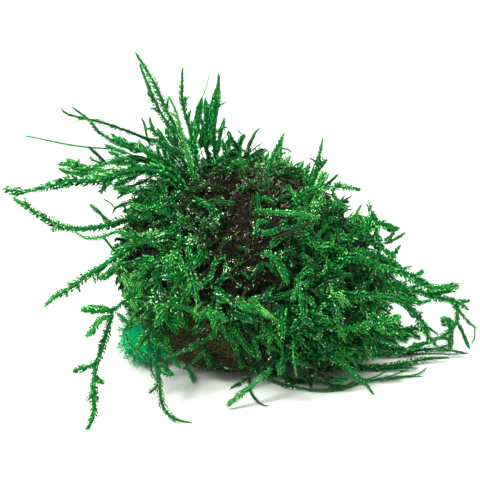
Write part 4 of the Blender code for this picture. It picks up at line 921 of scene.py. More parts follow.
def smooth_route(points, count):
    """Evenly spaced points on a smooth curve through the given points."""
    points = [np.array(point, float) for point in points]
    ends = [points[0] * 2 - points[1], *points, points[-1] * 2 - points[-2]]
    dense = []
    for before, start, end, after in zip(ends, ends[1:], ends[2:], ends[3:]):
        for t in np.arange(10) / 10:
            bend = (2 * start + (end - before) * t
                    + (2 * before - 5 * start + 4 * end - after) * t**2
                    + (3 * start - before - 3 * end + after) * t**3)
            dense.append(bend / 2)
    dense.append(points[-1])
    dense = np.array(dense)
    travelled = np.concatenate([[0], np.cumsum(np.linalg.norm(np.diff(dense, axis=0), axis=1))])
    wanted = np.linspace(0, travelled[-1], count)
    return np.stack([np.interp(wanted, travelled, dense[:, axis]) for axis in range(3)], axis=1)


def even_directions(count, stray=0.0, rng=None):
    """Directions spread evenly over a ball, then moved a little at random."""
    number = np.arange(count)
    height = 1 - 2 * (number + 0.5) / count
    around = np.sqrt(1 - height * height)
    turn = math.pi * (3 - math.sqrt(5)) * number
    outward = np.stack([around * np.cos(turn), around * np.sin(turn), height], axis=1)
    return unit(outward + rng.normal(0, stray, outward.shape)) if stray else outward


def lying(outward, rng):
    """For each direction, a random one square to it."""
    return unit(np.cross(outward, rng.normal(0, 1, outward.shape)))


def laid(roots, outward, growth, rng):
    """Paths that start every way over what they lie on, and bend along it or curl."""
    heading = lying(outward, rng) + outward * growth["rise"]
    lengths = rng.uniform(*growth["length"], len(roots))
    bend = lengths / growth["radius"] if growth["radius"] else np.ones(len(roots))
    return grow_paths(roots, heading, lengths, -outward * bend[:, None], growth["wander"],
                      growth["knots"], rng)


def latitudes(outward):
    """How far up each direction points, in radians."""
    return np.arcsin(np.clip(outward[:, 2], -1, 1))


def edge_latitudes(outward):
    """How low the coat hangs in each direction, in radians."""
    compass = np.degrees(np.arctan2(outward[:, 1], outward[:, 0])) % 360
    ragged = EDGE_RAGGED * lumps(outward * LUMP_BALL, EDGE_LUMP_SIZE)
    return np.radians(np.interp(compass, EDGE_ANGLES, EDGE_LATITUDES) + ragged)


def coat_radii(outward, coat):
    """The coat's outer radius in each direction from the ball's middle."""
    angle = np.arccos(np.clip(outward @ BULGE_TOWARDS, -1, 1))
    bulge = coat.bulge * np.exp(-((angle / coat.bulge_spread) ** 2))
    inward = np.arccos(np.clip(outward @ HOLLOW_TOWARDS, -1, 1))
    hollow = HOLLOW_DEPTH * np.exp(-((inward / HOLLOW_SPREAD) ** 2))
    lumpy = coat.lump_height * lumps(outward * coat.radius, COAT_LUMP_SIZE)
    return coat.radius + bulge - hollow + lumpy


def felt_radii(outward, coat):
    """The felt's radius in each direction: full under the coat, hidden in the ball below it."""
    full = coat_radii(outward, coat) - FELT_DEPTH + rough(outward * LUMP_BALL, FELT_LUMPS)
    cover = np.clip((latitudes(outward) - edge_latitudes(outward)) / FELT_EDGE, 0, 1)
    fall = np.maximum(-outward[:, 2], FELT_LEAST_FALL)
    under = np.minimum(CORE_RADIUS - FELT_HIDDEN, (CORE_MIDDLE[2] - FELT_OFF_FLAT_SPOT) / fall)
    return under + (full - under) * cover * cover * (3 - 2 * cover)


def above_coat(places, coat):
    """How far outside the coat each place is."""
    away = places - CORE_MIDDLE
    return np.linalg.norm(away, axis=1) - coat_radii(unit(away), coat)


def settle(points, lift, coat):
    """Where points of the front view lie on the coat, and whether the first is over it.

    Past the coat's edge a point lies beside the ball, and low down it lies on the floor.
    """
    points = np.array(points, float)
    eye = np.array(VIEW_AIM) + VIEW_BACK * VIEW_DISTANCE
    sight = unit(np.array(VIEW_AIM) - eye + (points[:, :1] - VIEW_AIM[0]) * np.array((1, 0, 0))
                 + (points[:, 1:] - VIEW_AIM_UP) * np.array((0, TILT_SIN, TILT_COS)))
    beside = eye + sight * ((CORE_MIDDLE - eye) * sight).sum(axis=1)[:, None]
    miss = np.linalg.norm(beside - CORE_MIDDLE, axis=1)
    places = beside
    for _ in range(SETTLE_ROUNDS):
        outward = unit(places - CORE_MIDDLE)
        reach = np.maximum(felt_radii(outward, coat), CORE_RADIUS) + SPRIG_CLEAR + lift
        places = beside - sight * np.sqrt(np.maximum(reach**2 - miss**2, 0))[:, None]
    on_floor = eye + sight * ((SPRIG_LOWEST - eye[2]) / sight[:, 2])[:, None]
    places = np.where(places[:, 2:] < SPRIG_LOWEST, on_floor, places)
    return places, miss[0] < reach[0]


class Grown:
    """The faces of one leafy piece, gathered as arrays before they become a mesh."""

    def __init__(self):
        self.places = []
        self.faces = []
        self.marks = []
        self.count = 0

    def add(self, places, faces, marks):
        """Closed shapes: (shape, corner, xyz), (face, corner) of one, (shape, corner, uv)."""
        shapes, corners, _ = places.shape
        first = self.count + np.arange(shapes)[:, None, None] * corners
        self.places.append(places.reshape(-1, 3))
        self.faces.append((first + faces[None]).reshape(-1, 3))
        self.marks.append(marks.reshape(-1, 2))
        self.count += shapes * corners

    def make(self, name, finish):
        """The mesh object, with the marks in its map."""
        places = np.concatenate(self.places) * MM
        faces = np.concatenate(self.faces).astype(np.int32)
        marks = np.clip(np.concatenate(self.marks), MARK_MARGIN, 1 - MARK_MARGIN)
        mesh = bpy.data.meshes.new(name)
        mesh.vertices.add(len(places))
        mesh.vertices.foreach_set("co", places.ravel().astype(np.float32))
        mesh.loops.add(faces.size)
        mesh.loops.foreach_set("vertex_index", faces.ravel())
        mesh.polygons.add(len(faces))
        mesh.polygons.foreach_set("loop_start", np.arange(0, faces.size, 3, dtype=np.int32))
        mesh.update(calc_edges=True)
        chart = mesh.uv_layers.new(name=MARKS_MAP)
        chart.data.foreach_set("uv", marks[faces.ravel()].ravel().astype(np.float32))
        mesh.materials.append(finish)
        made = bpy.data.objects.new(name, mesh)
        bpy.context.scene.collection.objects.link(made)
        return made


def add_stems(grown, paths, flats, radii, tints, sides=3, flatness=1.0):
    """A thin closed tube or keeled ribbon along every path, drawn to a point at both ends."""
    shapes, count, _ = paths.shape
    ahead = unit(np.gradient(paths, axis=1))
    side = unit(np.cross(ahead, flats[:, None, :]))
    up = np.cross(side, ahead)
    turns = np.pi / 2 + 2 * np.pi * np.arange(sides) / sides
    spokes = (side[:, :, None] * np.cos(turns)[:, None]
              + up[:, :, None] * np.sin(turns)[:, None] * flatness)
    rings = paths[:, :, None] + spokes * radii[:, :, None, None]
    inner = rings[:, 1:-1].reshape(shapes, -1, 3)
    places = np.concatenate([inner, paths[:, :1], paths[:, -1:]], axis=1)
    last = (count - 3) * sides
    root = last + sides
    ring = [(number, (number + 1) % sides) for number in range(sides)]
    faces = []
    for start in range(0, last, sides):
        for here, beside in ring:
            faces.append((start + here, start + beside, start + beside + sides))
            faces.append((start + here, start + beside + sides, start + here + sides))
    for here, beside in ring:
        faces.append((beside, here, root))
        faces.append((last + here, last + beside, root + 1))
    along = np.linspace(0, 1, count)[1:-1]
    along = np.concatenate([np.repeat(along, sides), [0, 1]])
    marks = np.empty((shapes, places.shape[1], 2))
    marks[:, :, 0] = tints[:, None] - STEM_AGEING * (1 - along)
    marks[:, :, 1] = STEM_MARK
    grown.add(places, np.array(faces), marks)


def sunk(places, coat):
    """How deep in the coat each place is: 0 on its outside, 1 far in."""
    if coat is None:
        return np.zeros(len(places))
    return np.clip((SUNK_FROM - above_coat(places, coat)) / SUNK_DEPTH, 0, 1)


def painted_glint_leaves(place, along, owner, count, look, rng):
    """Which leaves get a painted glint: those in a short row of their shoot, most where light
    falls.
    """
    away = seen_from(place, PAINTED_GLINT_MIDDLE) / PAINTED_GLINT_REACH
    shares = PAINTED_GLINT_SHARES[0] + PAINTED_GLINT_SHARES[1] * np.exp(-away**2) * (place[:, 1] < 0)
    middle = rng.uniform(0, 1, count)[owner]
    in_row = np.abs(along - middle) < GLINT_ROW
    has_row = (rng.uniform(0, 1, count) < GLINT_ROW_SHARE)[owner]
    shares = shares * GLINT_ROW_GAIN * in_row * has_row
    return rng.uniform(0, 1, len(owner)) < look["painted_glint"] * shares


def add_leaves(grown, leaf, paths, flats, widths, tints, look, rng, coat=None):
    """Leaves along every path: mostly in two rows, closing up towards the tip.

    Leaves that lie deep in a coat are given painted shade: their colour is darkened.
    """
    lengths = np.linalg.norm(np.diff(paths, axis=1), axis=2).sum(axis=1)
    counts = np.maximum(4, np.round(lengths * look["per_mm"])).astype(int)
    owner = np.repeat(np.arange(len(paths)), counts)
    first = np.repeat(np.cumsum(counts) - counts, counts)
    number = np.arange(len(owner)) - first
    along = (number + rng.uniform(0.1, 0.9, len(owner))) / counts[owner]
    along = look["bare"] + (LAST_LEAF - look["bare"]) * along
    spot = along * (paths.shape[1] - 1)
    knot = np.minimum(spot.astype(int), paths.shape[1] - 2)
    part = (spot - knot)[:, None]
    place = paths[owner, knot] * (1 - part) + paths[owner, knot + 1] * part
    ahead = unit(paths[owner, knot + 1] - paths[owner, knot])
    side = unit(np.cross(ahead, flats[owner]))
    up = np.cross(side, ahead)
    on_face = number % look["faced"] == 2
    row = np.where(on_face, np.where(number % 2 == 0, 0.5, 1.5), number % 2)
    turn = np.pi * row + rng.normal(0, look["loose"], len(owner))
    out = side * np.cos(turn)[:, None] + up * np.sin(turn)[:, None]
    lean = look["lean"] * (1 - LEAF_CLOSING * along**4)
    lean = lean + rng.normal(0, LEAF_LEAN_STRAY, len(owner))
    axis = ahead * np.cos(lean)[:, None] + out * np.sin(lean)[:, None]
    face = out * np.cos(lean)[:, None] - ahead * np.sin(lean)[:, None]
    roll = np.where(on_face, 0, look["flat"]) + rng.normal(0, LEAF_ROLL_STRAY, len(owner))
    roll = roll[:, None]
    across = np.cross(axis, face)
    across, face = (across * np.cos(roll) + face * np.sin(roll),
                    face * np.cos(roll) - across * np.sin(roll))
    height, often, start = LEAF_WAVE
    swell = swelling(along, look["narrow"]) * (1 + height * np.sin(along * often + owner * start))
    length = widths[owner] * look["length"] * swell * rng.uniform(*LEAF_SIZES, len(owner))
    width = widths[owner] * look["width"] * swell * rng.uniform(*LEAF_SIZES, len(owner))
    scale = np.stack([width, length, width * look["thick"]], axis=1)
    corners = leaf["places"][None] * scale[:, None]
    place = place + out * (widths[owner] * look["body"] * swell)[:, None]
    places = (place[:, None] + across[:, None] * corners[:, :, :1]
              + axis[:, None] * corners[:, :, 1:2] + face[:, None] * corners[:, :, 2:])
    places[:, :, 2] = np.maximum(places[:, :, 2], LEAF_LOWEST)
    tint = tints[owner] + look["fresh_tip"] * (along**2 - 0.3)
    tint = np.minimum(tint + rng.normal(0, look["mixed"], len(owner)), FRESHEST)
    # Painted glints: these leaves take a colour from the palest tips to near white, for a
    # highlight
    painted_glints = painted_glint_leaves(place, along, owner, len(paths), look, rng)
    tint = np.where(painted_glints, rng.uniform(FRESHEST, 1, len(owner)), tint)
    # Painted shade: leaves that lie deep in the coat are darkened
    shade = 1 - SUNK_PAINTED_SHADE * sunk(place, coat)
    marks = np.empty((len(owner), len(leaf["places"]), 2))
    marks[:, :, 0] = tint[:, None]
    marks[:, :, 1] = leaf["places"][None, :, 1] * shade[:, None]
    grown.add(places, leaf["faces"], marks)


def grow_paths(roots, headings, lengths, pulls, wander, count, rng):
    """Centre lines that start along a heading and bend with a pull and a wandering of theirs."""
    paths = np.empty((len(roots), count, 3))
    paths[:, 0] = roots
    heading = unit(headings)
    sway = unit(rng.normal(0, 1, (len(roots), 3))) * wander
    swing = unit(rng.normal(0, 1, (len(roots), 3))) * wander
    step = lengths[:, None] / (count - 1)
    for knot in range(1, count):
        paths[:, knot] = paths[:, knot - 1] + heading * step
        phase = math.pi * knot / (count - 1)
        bend = pulls + sway * math.cos(2 * phase) * 2 + swing
        heading = unit(heading + bend / (count - 1))
    return paths


def bright_crown(places):
    """How much painted light, as paler, fresher colours, each place gets: 1 on the crown's lit
    side, 0 away.
    """
    return np.exp(-(seen_from(places, CROWN_MIDDLE) / CROWN_REACH) ** 4)


def shoot_course(group, name):
    """A long shoot's leafy width, its places from root to tip, and the tips of its twigs."""
    width, points, twigs = group[name]
    width *= SHOOT_FULLNESS
    if group is not BACK_SHOOTS:
        points = [from_view(*point, rest=width / 2 + 0.1) for point in points]
        twigs = [from_view(*twig) for twig in twigs]
    points = [np.array(point, float) for point in points]
    twigs = [np.array(twig, float) for twig in twigs]
    if group is FORKS:
        points = [points[0] + unit(points[0] - points[1]) * FORK_OVERLAP, *points]
    else:
        points = [CORE_MIDDLE + unit(points[0] - CORE_MIDDLE) * SHOOT_ROOT_RADIUS, *points]
    return width, points, twigs


def outline_room(places, ragged):
    """How far inside the outline of the front view each place is."""
    across, up = to_view(places.reshape(-1, 3))
    across = across - OUTLINE_MIDDLE[0]
    up = up - OUTLINE_MIDDLE[1]
    turn = np.degrees(np.arctan2(up, across)) % 360
    steps = np.arange(len(OUTLINE_REACH) + 1) * OUTLINE_STEP
    reach = np.interp(turn, steps, OUTLINE_REACH + OUTLINE_REACH[:1])
    return (reach - np.hypot(across, up)).reshape(places.shape[:-1]) + ragged[:, None]


def over_bare(places):
    """Which places hide the part of the ball or the wadding that is bare in the front view."""
    across, up = to_view(places)
    bare = np.zeros(len(places), bool)
    for (left, right), (low, high) in BARE_PLACES:
        bare |= (across > left) & (across < right) & (up > low) & (up < high)
    return bare & (places[:, 1] < 0)


def keep_inside(paths, rng):
    """Shorten the paths that leave the outline or touch the floor, and say which to keep."""
    ragged = rng.uniform(*OUTLINE_RAGGED, len(paths))
    for _ in range(SHRINK_TRIES):
        past = (outline_room(paths, ragged) < 0) | (paths[:, :, 2] < PATH_LOWEST)
        scale = np.where(past.any(axis=1), SHRINK, 1.0)[:, None, None]
        paths = paths[:, :1] + (paths - paths[:, :1]) * scale
    thin = over_bare(paths[:, -1]) & (rng.uniform(0, 1, len(paths)) < BARE_GIVEN_UP)
    return paths, ~past.any(axis=1) & ~thin


def chosen_flats(paths, outward, rng, stray=0.5):
    """For each path, the way its flat leafy face looks: mostly outwards."""
    ahead = unit(paths[:, -1] - paths[:, 0])
    wanted = outward + rng.normal(0, stray, outward.shape)
    return unit(wanted - ahead * (wanted * ahead).sum(axis=1, keepdims=True))


def swelling(along, narrow):
    """How wide a shoot is along its length: fullest past the root, narrower at the tip."""
    return np.minimum(1, 0.6 + 1.5 * along) * (1 - narrow * along**3)


def tapered(half_widths, count, look):
    """Stem radii along every path."""
    along = np.linspace(0, 1, count)
    return half_widths[:, None] * swelling(along, look["narrow"])[None]


def side_twigs(paths, flats, widths, tints, most, rng):
    """Small twigs that fork off the paths, flat with them: paths, flats, widths and tints."""
    wanted = rng.integers(0, most + 1, len(paths))
    owner = np.repeat(np.arange(len(paths)), wanted)
    count = paths.shape[1]
    knot = rng.integers(1, count - 2, len(owner))
    ahead = unit(paths[owner, knot + 1] - paths[owner, knot])
    side = unit(np.cross(ahead, flats[owner])) * rng.choice((-1, 1), len(owner))[:, None]
    spread = rng.uniform(*SPRIG_TWIG_SPREAD, len(owner))[:, None]
    heading = ahead * np.cos(spread) + side * np.sin(spread)
    whole = np.linalg.norm(np.diff(paths, axis=1), axis=2).sum(axis=1)[owner]
    lengths = whole * (1 - knot / count) * rng.uniform(*SPRIG_TWIG_LENGTHS, len(owner))
    pulls = ahead * 0.5 + SPRIG_TWIG_DROOP
    twigs = grow_paths(paths[owner, knot], heading, lengths, pulls, 0.3, SPRIG_TWIG_KNOTS, rng)
    return (twigs, flats[owner], widths[owner] * SPRIG_TWIG_WIDTH,
            tints[owner] + SPRIG_TWIG_FRESHER)


def report(made, nodes):
    """Hang a finished piece on the body that it rides on, and hide the solids that it stands for.
    """
    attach(made, BODY)
    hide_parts(*nodes)


def colour(name, description, default):
    """A colour setting."""
    return FloatVectorProperty(name=name, description=description, default=default,
                               subtype="COLOR")


class CoatSettings(bpy.types.PropertyGroup):
    """The moss coat's form, in millimetres."""

    radius: FloatProperty(
        name="Radius", description="Coat's radius from the ball's middle", default=29.2, min=20,
        max=50)
    bulge: FloatProperty(
        name="Bulge", description="How far the drooping side stands out", default=8.5, min=0,
        max=20)
    bulge_spread: FloatProperty(
        name="Bulge spread", description="Half width of the bulge", default=math.radians(40),
        subtype="ANGLE")
    lump_height: FloatProperty(
        name="Lumps", description="Height of the coat's lumps", default=1.4, min=0, max=5)
    short_sprigs: IntProperty(
        name="Short sprigs", description="Short sprigs tried", default=1950, min=10, max=10000)
    long_sprigs: IntProperty(
        name="Long sprigs", description="Long, forking sprigs tried", default=850, min=10,
        max=10000)
    short_length: FloatProperty(
        name="Short length", description="Length of a short sprig", default=6.0)
    long_length: FloatProperty(
        name="Long length", description="Length of a long sprig", default=10.0)
    sprig_width: FloatProperty(
        name="Sprig width", description="Leafy width of a sprig", default=1.7)
    freshness: FloatProperty(
        name="Freshness", description="Usual tint from old to fresh", default=0.475, min=0, max=1)
    tangle: IntProperty(
        name="Tangle", description="Old sprigs tried under the green ones", default=1700, min=10,
        max=10000)
    dead_fibres: IntProperty(
        name="Dead fibres", description="Dead fibres tried", default=11250, min=10, max=30000)


class MossColours(bpy.types.PropertyGroup):
    """The moss's colours from old to fresh."""

    old: colour("Old", "Dead brown moss", (0.02, 0.014, 0.007))
    dull: colour("Dull", "Browned moss", (0.035, 0.04, 0.014))
    deep: colour("Deep", "Dark green moss", (0.003, 0.052, 0.014))
    full: colour("Full", "Full green moss", (0.007, 0.21, 0.036))
    light: colour("Light", "Young green", (0.055, 0.37, 0.058))
    tip: colour("Tip", "Palest tips", (0.22, 0.6, 0.16))
    dead: colour("Dead", "Dead fibre", (0.062, 0.04, 0.022))
    bleached: colour("Bleached", "Bleached dead fibre", (0.36, 0.28, 0.22))
    # Painted glint: a near-white colour that stands in for the highlight on wet leaves
    painted_glint: colour("Glint", "Wet leaves that shine", (0.7, 0.9, 0.62))


class CoreSettings(bpy.types.PropertyGroup):
    """The fibre ball, in millimetres."""

    lump_height: FloatProperty(name="Lumps", description="Height of the ball's lumps", default=0.5)
    strands: IntProperty(name="Strands", description="Loose fibres on the ball", default=1100)
    strand_radius: FloatProperty(name="Strand radius", description="Fibre radius", default=0.09)
    dark: colour("Dark", "Deep fibre", (0.008, 0.011, 0.002))
    pale: colour("Pale", "Fibre that catches light", (0.085, 0.09, 0.026))


class WaddingSettings(bpy.types.PropertyGroup):
    """The tuft of fibre wadding, in millimetres."""

    filaments: IntProperty(name="Filaments", description="Curly filaments", default=700)
    filament_radius: FloatProperty(
        name="Filament radius", description="Radius of a filament", default=0.07)
    deep: colour("Deep", "Shaded fibre", (0.0, 0.1, 0.04))
    bright: colour("Bright", "Lit fibre", (0.0, 0.42, 0.13))
    pale: colour("Pale", "Palest filament", (0.1, 0.66, 0.34))


class StageSettings(bpy.types.PropertyGroup):
    """The floor, the lights and the camera."""

    lens: FloatProperty(name="Lens", description="Focal length, mm", default=150.0)
    floor_size: FloatProperty(
        name="Floor", description="Width of the floor", default=8.0, unit="LENGTH")
    floor_colour: colour("Floor colour", "Pale floor", (0.72, 0.77, 0.69))
    key_power: FloatProperty(
        name="Key", description="Power of the small key light, W", default=15.0)
    top_power: FloatProperty(
        name="Top", description="Power of the soft light overhead, W", default=25.0)
    fill_power: FloatProperty(
        name="Fill", description="Power of the soft light in front, W", default=3.8)
    sky: FloatProperty(
        name="Sky", description="Strength of the white surroundings", default=0.3)


def deselect():
    """Nothing selected, so that an operator acts only on what it adds."""
    bpy.ops.object.select_all(action="DESELECT")


def model_leaf():
    """One small keeled leaf, modelled by hand from a three-sided cone that lies along +Y."""
    deselect()
    bpy.ops.mesh.primitive_cone_add(vertices=3, radius1=0.58, radius2=0, depth=1,
                                    location=(0, 0.5, 0), rotation=(-math.pi / 2, 0, 0))
    bpy.ops.object.transform_apply(location=True, rotation=True, scale=True)
    leaf = bpy.context.object
    bpy.ops.object.mode_set(mode="EDIT")
    bpy.ops.mesh.select_mode(type="VERT")
    bpy.ops.mesh.select_all(action="DESELECT")
    bpy.ops.object.mode_set(mode="OBJECT")
    for corner in leaf.data.vertices:
        corner.select = corner.co.y < 0.5 and corner.co.z > 0.1
    bpy.ops.object.mode_set(mode="EDIT")
    bpy.ops.transform.translate(value=(0, 0.36, 0.1))
    bpy.ops.object.mode_set(mode="OBJECT")
    places = np.array([corner.co for corner in leaf.data.vertices])
    leaf.data.calc_loop_triangles()
    faces = np.array([list(face.vertices) for face in leaf.data.loop_triangles])
    base = places[places[:, 1].argmin()]
    places = places - np.array((0, base[1], base[2]))
    places[:, 1] /= places[:, 1].max()
    mesh = leaf.data
    bpy.data.objects.remove(leaf)
    bpy.data.meshes.remove(mesh)
    return {"places": places, "faces": faces}


def round_form(name, subdivisions, shape, finish):
    """A closed form from an icosphere, whose corners a function moves out along their ways."""
    deselect()
    bpy.ops.mesh.primitive_ico_sphere_add(subdivisions=subdivisions, radius=1)
    form = bpy.context.object
    form.name = name
    places = shape(unit(np.array([corner.co for corner in form.data.vertices])))
    form.data.vertices.foreach_set("co", (places * MM).ravel().astype(np.float32))
    form.data.update()
    bpy.ops.object.shade_smooth()
    form.data.materials.append(finish)
    return form


def fibre_piece(name, paths, flats, radius, tints, finish):
    """Fibres of one thickness along the paths."""
    grown = Grown()
    add_stems(grown, paths, flats, np.full(paths.shape[:2], radius), tints)
    return grown.make(name, finish)


def fibre_finish(name, stops, **settings):
    """Fibres that differ in colour, by the first number in their map."""
    finish = Finish(name, **settings)
    tint, _ = finish.marks()
    finish.drive("Base Color", finish.ramp(tint, stops))
    return finish.material


def moss_finish(name, colours, gloss):
    """Wet moss, coloured by how fresh each leaf is, with painted shade and light from its root to
    its tip.
    """
    finish = Finish(name, Roughness=gloss, Coat_Weight=0.05, Coat_Roughness=0.1,
                    Specular_IOR_Level=0.05)
    fresh, along = finish.marks()
    stops = [(place, getattr(colours, colour)) for colour, place in MOSS_STOPS.items()]
    # Painted shade at each leaf's root, painted light towards its tip
    shade = LEAF_DARKEST + along * along * LEAF_GAIN
    finish.drive("Base Color", finish.multiply(finish.ramp(fresh, stops), shade))
    return finish.material


class MOSS_OT_core(bpy.types.Operator):
    """The fibre ball and the loose fibres on it"""

    bl_idname = "moss.core"
    bl_label = "Fibre ball"

    def execute(self, context):
        settings = context.scene.moss_core

        def shape(outward):
            return self.places(outward, settings.lump_height)

        ball = round_form("fibre_ball", 6, shape, self.ball_finish(settings))
        report(ball, ["core"])
        report(self.strands(settings), ["core"])
        return {"FINISHED"}

    def places(self, outward, lump_height):
        """The lumpy ball's outside, calm near its flat spot and a little inside its solid."""
        height = CORE_MIDDLE[2] + CORE_RADIUS * outward[:, 2]
        rise = lump_height * rough(outward * CORE_RADIUS, CORE_LUMPS)
        rise = rise * np.clip(height / CORE_CALM_BELOW, 0, 1)
        places = CORE_MIDDLE + outward * (CORE_RADIUS - CORE_INSIDE + rise)[:, None]
        places[:, 2] = np.maximum(places[:, 2], 0)
        return places

    def ball_finish(self, settings):
        """Matted plant fibre: streaks that run every way, with pits between them."""
        finish = Finish("core fibre", Roughness=0.9, Specular_IOR_Level=0.1)
        where = finish.place()
        streaks = []
        for turn, squeeze in (((0.3, 0.2, 0), (160, 160, 1500)),
                              ((0.4, 1.4, 0.7), (1500, 170, 170))):
            turned = finish.node("ShaderNodeMapping", inputs={
                0: where, "Rotation": turn, "Scale": squeeze})
            streaks.append(finish.grain(turned, 1.0, 4.0, 0.6, 0.8))
        fibre = streaks[0].maths("MAXIMUM", *streaks)
        finish.drive("Base Color", finish.ramp(fibre, [(0.5, settings.dark),
                                                       (0.72, settings.pale)]))
        finish.raise_by(fibre, 0.8, 0.0006)
        return finish.material

    def strands(self, settings):
        """Loose fibres lying on the ball where the coat leaves it bare, but not under it."""
        rng = np.random.default_rng(11)
        outward = even_directions(settings.strands * 2)
        bare = latitudes(outward) < edge_latitudes(outward) + math.radians(STRANDS["margin"])
        outward = outward[bare & (outward[:, 2] > STRANDS["least_upness"])]
        roots = CORE_MIDDLE + outward * (CORE_RADIUS - 0.1)
        paths = laid(roots, outward, STRANDS, rng)
        paths[:, :, 2] = np.maximum(paths[:, :, 2], FIBRE_LOWEST)
        finish = fibre_finish("core strands", [(0.0, settings.dark), (1.0, settings.pale)],
                              Roughness=0.75, Specular_IOR_Level=0.1)
        flats = chosen_flats(paths, outward, rng)
        return fibre_piece("core_strands", paths, flats, settings.strand_radius,
                           rng.uniform(0.1, 1, len(paths)), finish)


class MOSS_OT_wadding(bpy.types.Operator):
    """The tuft of bright fibre wadding"""

    bl_idname = "moss.wadding"
    bl_label = "Wadding"

    def execute(self, context):
        settings = context.scene.moss_wadding
        tuft = round_form("wadding_tuft", 5, self.places, self.tuft_finish(settings))
        report(tuft, ["wadding"])
        report(self.filaments(settings), ["wadding"])
        return {"FINISHED"}

    def reach(self, outward, share):
        """Places on the wadding's form, or a share of the way to it."""
        turn = np.array(Matrix.Rotation(WADDING_TURN, 3, "Z"))
        low_left = np.clip(outward @ WADDING_LOW_LEFT, 0, 1)
        size = share * (1 + rough(outward * WADDING_BALL, WADDING_LUMPS)) * (
            1 - WADDING_LOW_LEFT_LOSS * low_left)
        return WADDING_MIDDLE + (WADDING_HALF_SIZE * outward * size[:, None]) @ turn.T

    def places(self, outward):
        """The outside of the tuft's soft inside."""
        fluff = rough(outward * WADDING_BALL, WADDING_FLUFF)
        places = self.reach(outward, WADDING_INSIDE + fluff)
        places[:, 2] = np.maximum(places[:, 2], WADDING_LOWEST)
        return places

    def tuft_finish(self, settings):
        """Hazy synthetic fibre."""
        finish = Finish("wadding", Roughness=0.7, Specular_IOR_Level=0.05)
        haze = finish.grain(finish.place(), 900.0, 5.0, 0.65, 2.0)
        finish.drive("Base Color", finish.ramp(haze, [(0.35, settings.deep),
                                                      (0.62, settings.bright)]))
        finish.raise_by(haze, 0.6, 0.0005)
        return finish.material

    def filaments(self, settings):
        """Curly filaments all over the tuft."""
        rng = np.random.default_rng(23)
        outward = even_directions(settings.filaments)
        roots = self.reach(outward, FILAMENT_ROOTS)
        clump = np.stack([lumps(outward * WADDING_BALL, 1.6, shift) for shift in (0, 40, 80)],
                         axis=1)
        heading = outward * 1.1 + np.cross(outward, rng.normal(0, 0.5, outward.shape)) + clump
        lengths = rng.uniform(1.5, 4.5, len(roots))
        pulls = rng.normal(0, 0.9, outward.shape) - outward * 0.8
        paths = grow_paths(roots, heading, lengths, pulls, 1.2, 9, rng)
        paths[:, :, 2] = np.maximum(paths[:, :, 2], FIBRE_LOWEST)
        stops = [(0.1, settings.deep), (0.7, settings.bright), (1.0, settings.pale)]
        finish = fibre_finish("wadding filament", stops, Roughness=0.5, Specular_IOR_Level=0.1)
        flats = chosen_flats(paths, outward, rng)
        return fibre_piece("wadding_filaments", paths, flats, settings.filament_radius,
                           rng.uniform(0.1, 1, len(paths)), finish)


